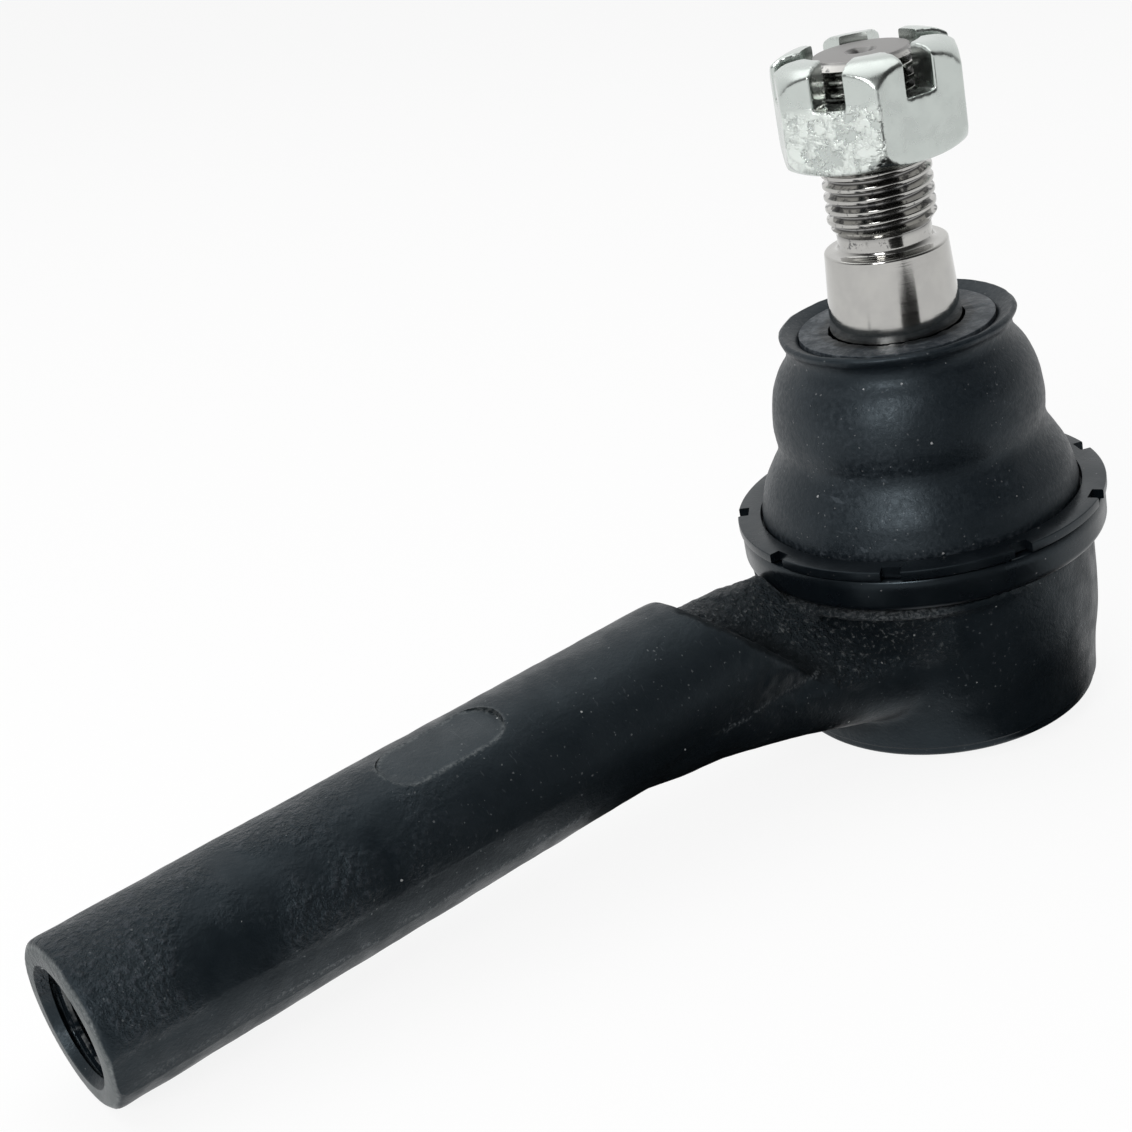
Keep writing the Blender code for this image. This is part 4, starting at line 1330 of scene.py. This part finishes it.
class TIEROD_OT_housing(bpy.types.Operator):
    """Forge the housing with its stem, neck and socket"""

    bl_idname = "tierod.housing"
    bl_label = "Forged housing"

    def execute(self, context):
        settings = context.scene.tierod_forging
        housing = dress(build_housing(settings), black_coating(settings))
        housing.name = "forged_housing"
        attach(housing, "housing")
        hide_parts("housing")
        return {"FINISHED"}


class TIEROD_OT_cover(bpy.types.Operator):
    """Press the closing cover in the socket's foot"""

    bl_idname = "tierod.cover"
    bl_label = "Closing cover"

    def execute(self, context):
        steel = plain_metal("cover_steel", (0.035, 0.037, 0.04), (0.07, 0.072, 0.075), 0.36)
        cover = dress(build_cover(), steel)
        cover.name = "closing_cover"
        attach(cover, "housing")
        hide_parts("end_cover")
        return {"FINISHED"}


class TIEROD_OT_inner(bpy.types.Operator):
    """Finish the bearings and the spring inside the socket"""

    bl_idname = "tierod.inner"
    bl_label = "Inner pieces"

    def execute(self, context):
        plastic = bearing_plastic()
        spring = plain_metal("spring_steel", (0.28, 0.28, 0.30), (0.40, 0.39, 0.38), 0.3)
        for node, material in (("upper_bearing", plastic), ("lower_bearing", plastic),
                               ("preload_spring", spring)):
            frame["nodes"][node].material_slots[0].material = material
        return {"FINISHED"}


class TIEROD_OT_rings(bpy.types.Operator):
    """Turn the band and the notched ring that hold the boot"""

    bl_idname = "tierod.rings"
    bl_label = "Boot rings"

    def execute(self, context):
        black = moulded_black(context.scene.tierod_boot)
        band = dress(build_band(), black)
        band.name = "base_band"
        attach(band, "housing")
        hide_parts("boot_base_band")
        ring = dress(build_ring(), black)
        ring.name = "notched_ring"
        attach(ring, "housing")
        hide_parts("boot_retaining_ring")
        return {"FINISHED"}


class TIEROD_OT_boot(bpy.types.Operator):
    """Mould the boot in two pieces"""

    bl_idname = "tierod.boot"
    bl_label = "Rubber boot"

    def execute(self, context):
        settings = context.scene.tierod_boot
        black = rubber(settings)
        waist = BOOT_WAIST
        lower, upper = part_boot(build_boot(settings), waist)
        for piece in (lower, upper):
            dress(piece, black)
            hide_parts("boot")
        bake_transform(lower)
        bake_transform(upper)
        return {"FINISHED"}


class TIEROD_OT_collar(bpy.types.Operator):
    """Set the collar ring in the boot's mouth"""

    bl_idname = "tierod.collar"
    bl_label = "Collar ring"

    def execute(self, context):
        collar = dress(build_collar(), collar_rubber(context.scene.tierod_boot))
        collar.name = "collar_ring"
        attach(collar, "boot_collar")
        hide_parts("boot_collar_ring")
        return {"FINISHED"}


class TIEROD_OT_stud(bpy.types.Operator):
    """Turn the ball stud and roll its thread"""

    bl_idname = "tierod.stud"
    bl_label = "Ball stud"

    def execute(self, context):
        settings = context.scene.tierod_stud
        stud = carve(build_stud(settings), cotter_drill(context.scene.tierod_nut))
        dress(stud, polished_steel(settings))
        stud.name = "polished_stud"
        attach(stud, "stud")
        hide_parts("ball_stud")
        return {"FINISHED"}


class TIEROD_OT_nut(bpy.types.Operator):
    """Make the castle nut"""

    bl_idname = "tierod.nut"
    bl_label = "Castle nut"

    def execute(self, context):
        settings = context.scene.tierod_nut
        nut = dress(build_nut(settings, context.scene.tierod_stud), zinc_plate(settings))
        nut.name = "slotted_nut"
        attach(nut, "nut")
        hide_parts("castle_nut")
        return {"FINISHED"}


class TIEROD_OT_stage(bpy.types.Operator):
    """Lay the floor, set the lamps and stand the camera"""

    bl_idname = "tierod.stage"
    bl_label = "Stage"

    def execute(self, context):
        settings = context.scene.tierod_stage
        context.scene.view_settings.view_transform = "Standard"
        lay_floor(settings, context.scene.tierod_forging)
        light_sky(settings)
        middle = (-0.04, 0, 0.04)
        lay_card(context.scene.tierod_forging)
        lamp("top_lamp", (-0.10, 0.15, 0.90), middle, (1.1, 1.1), 3.6)
        lamp("front_lamp", (-0.68, -0.34, 0.48), middle, (0.28, 0.30), 4.0)
        stand_camera(settings)
        return {"FINISHED"}


STEPS = ("housing", "cover", "inner", "rings", "boot", "collar", "stud", "nut", "stage")
GROUPS = {
    "tierod_forging": ForgingSettings,
    "tierod_boot": BootSettings,
    "tierod_stud": StudSettings,
    "tierod_nut": NutSettings,
    "tierod_stage": StageSettings,
}


class TIEROD_PT_panel(bpy.types.Panel):
    """Sizes, colours and the steps that build the tie rod end"""

    bl_idname = "TIEROD_PT_panel"
    bl_label = "Tie Rod End"
    bl_space_type = "VIEW_3D"
    bl_region_type = "UI"
    bl_category = "Tie Rod End"

    def draw(self, context):
        for group in GROUPS:
            column = self.layout.column(align=True)
            settings = getattr(context.scene, group)
            for key in settings.__annotations__:
                column.prop(settings, key)
        for step in STEPS:
            self.layout.operator("tierod." + step)


CLASSES = (
    *GROUPS.values(),
    TIEROD_OT_housing,
    TIEROD_OT_cover,
    TIEROD_OT_inner,
    TIEROD_OT_rings,
    TIEROD_OT_boot,
    TIEROD_OT_collar,
    TIEROD_OT_stud,
    TIEROD_OT_nut,
    TIEROD_OT_stage,
    TIEROD_PT_panel,
)


def register():
    for item in CLASSES:
        bpy.utils.register_class(item)
    for name, group in GROUPS.items():
        setattr(bpy.types.Scene, name, PointerProperty(type=group))


def unregister():
    for name in GROUPS:
        delattr(bpy.types.Scene, name)
    for item in reversed(CLASSES):
        bpy.utils.unregister_class(item)


def main():
    register()
    for step in STEPS:
        getattr(bpy.ops.tierod, step)()
    calm()


if __name__ == "__main__":
    main()
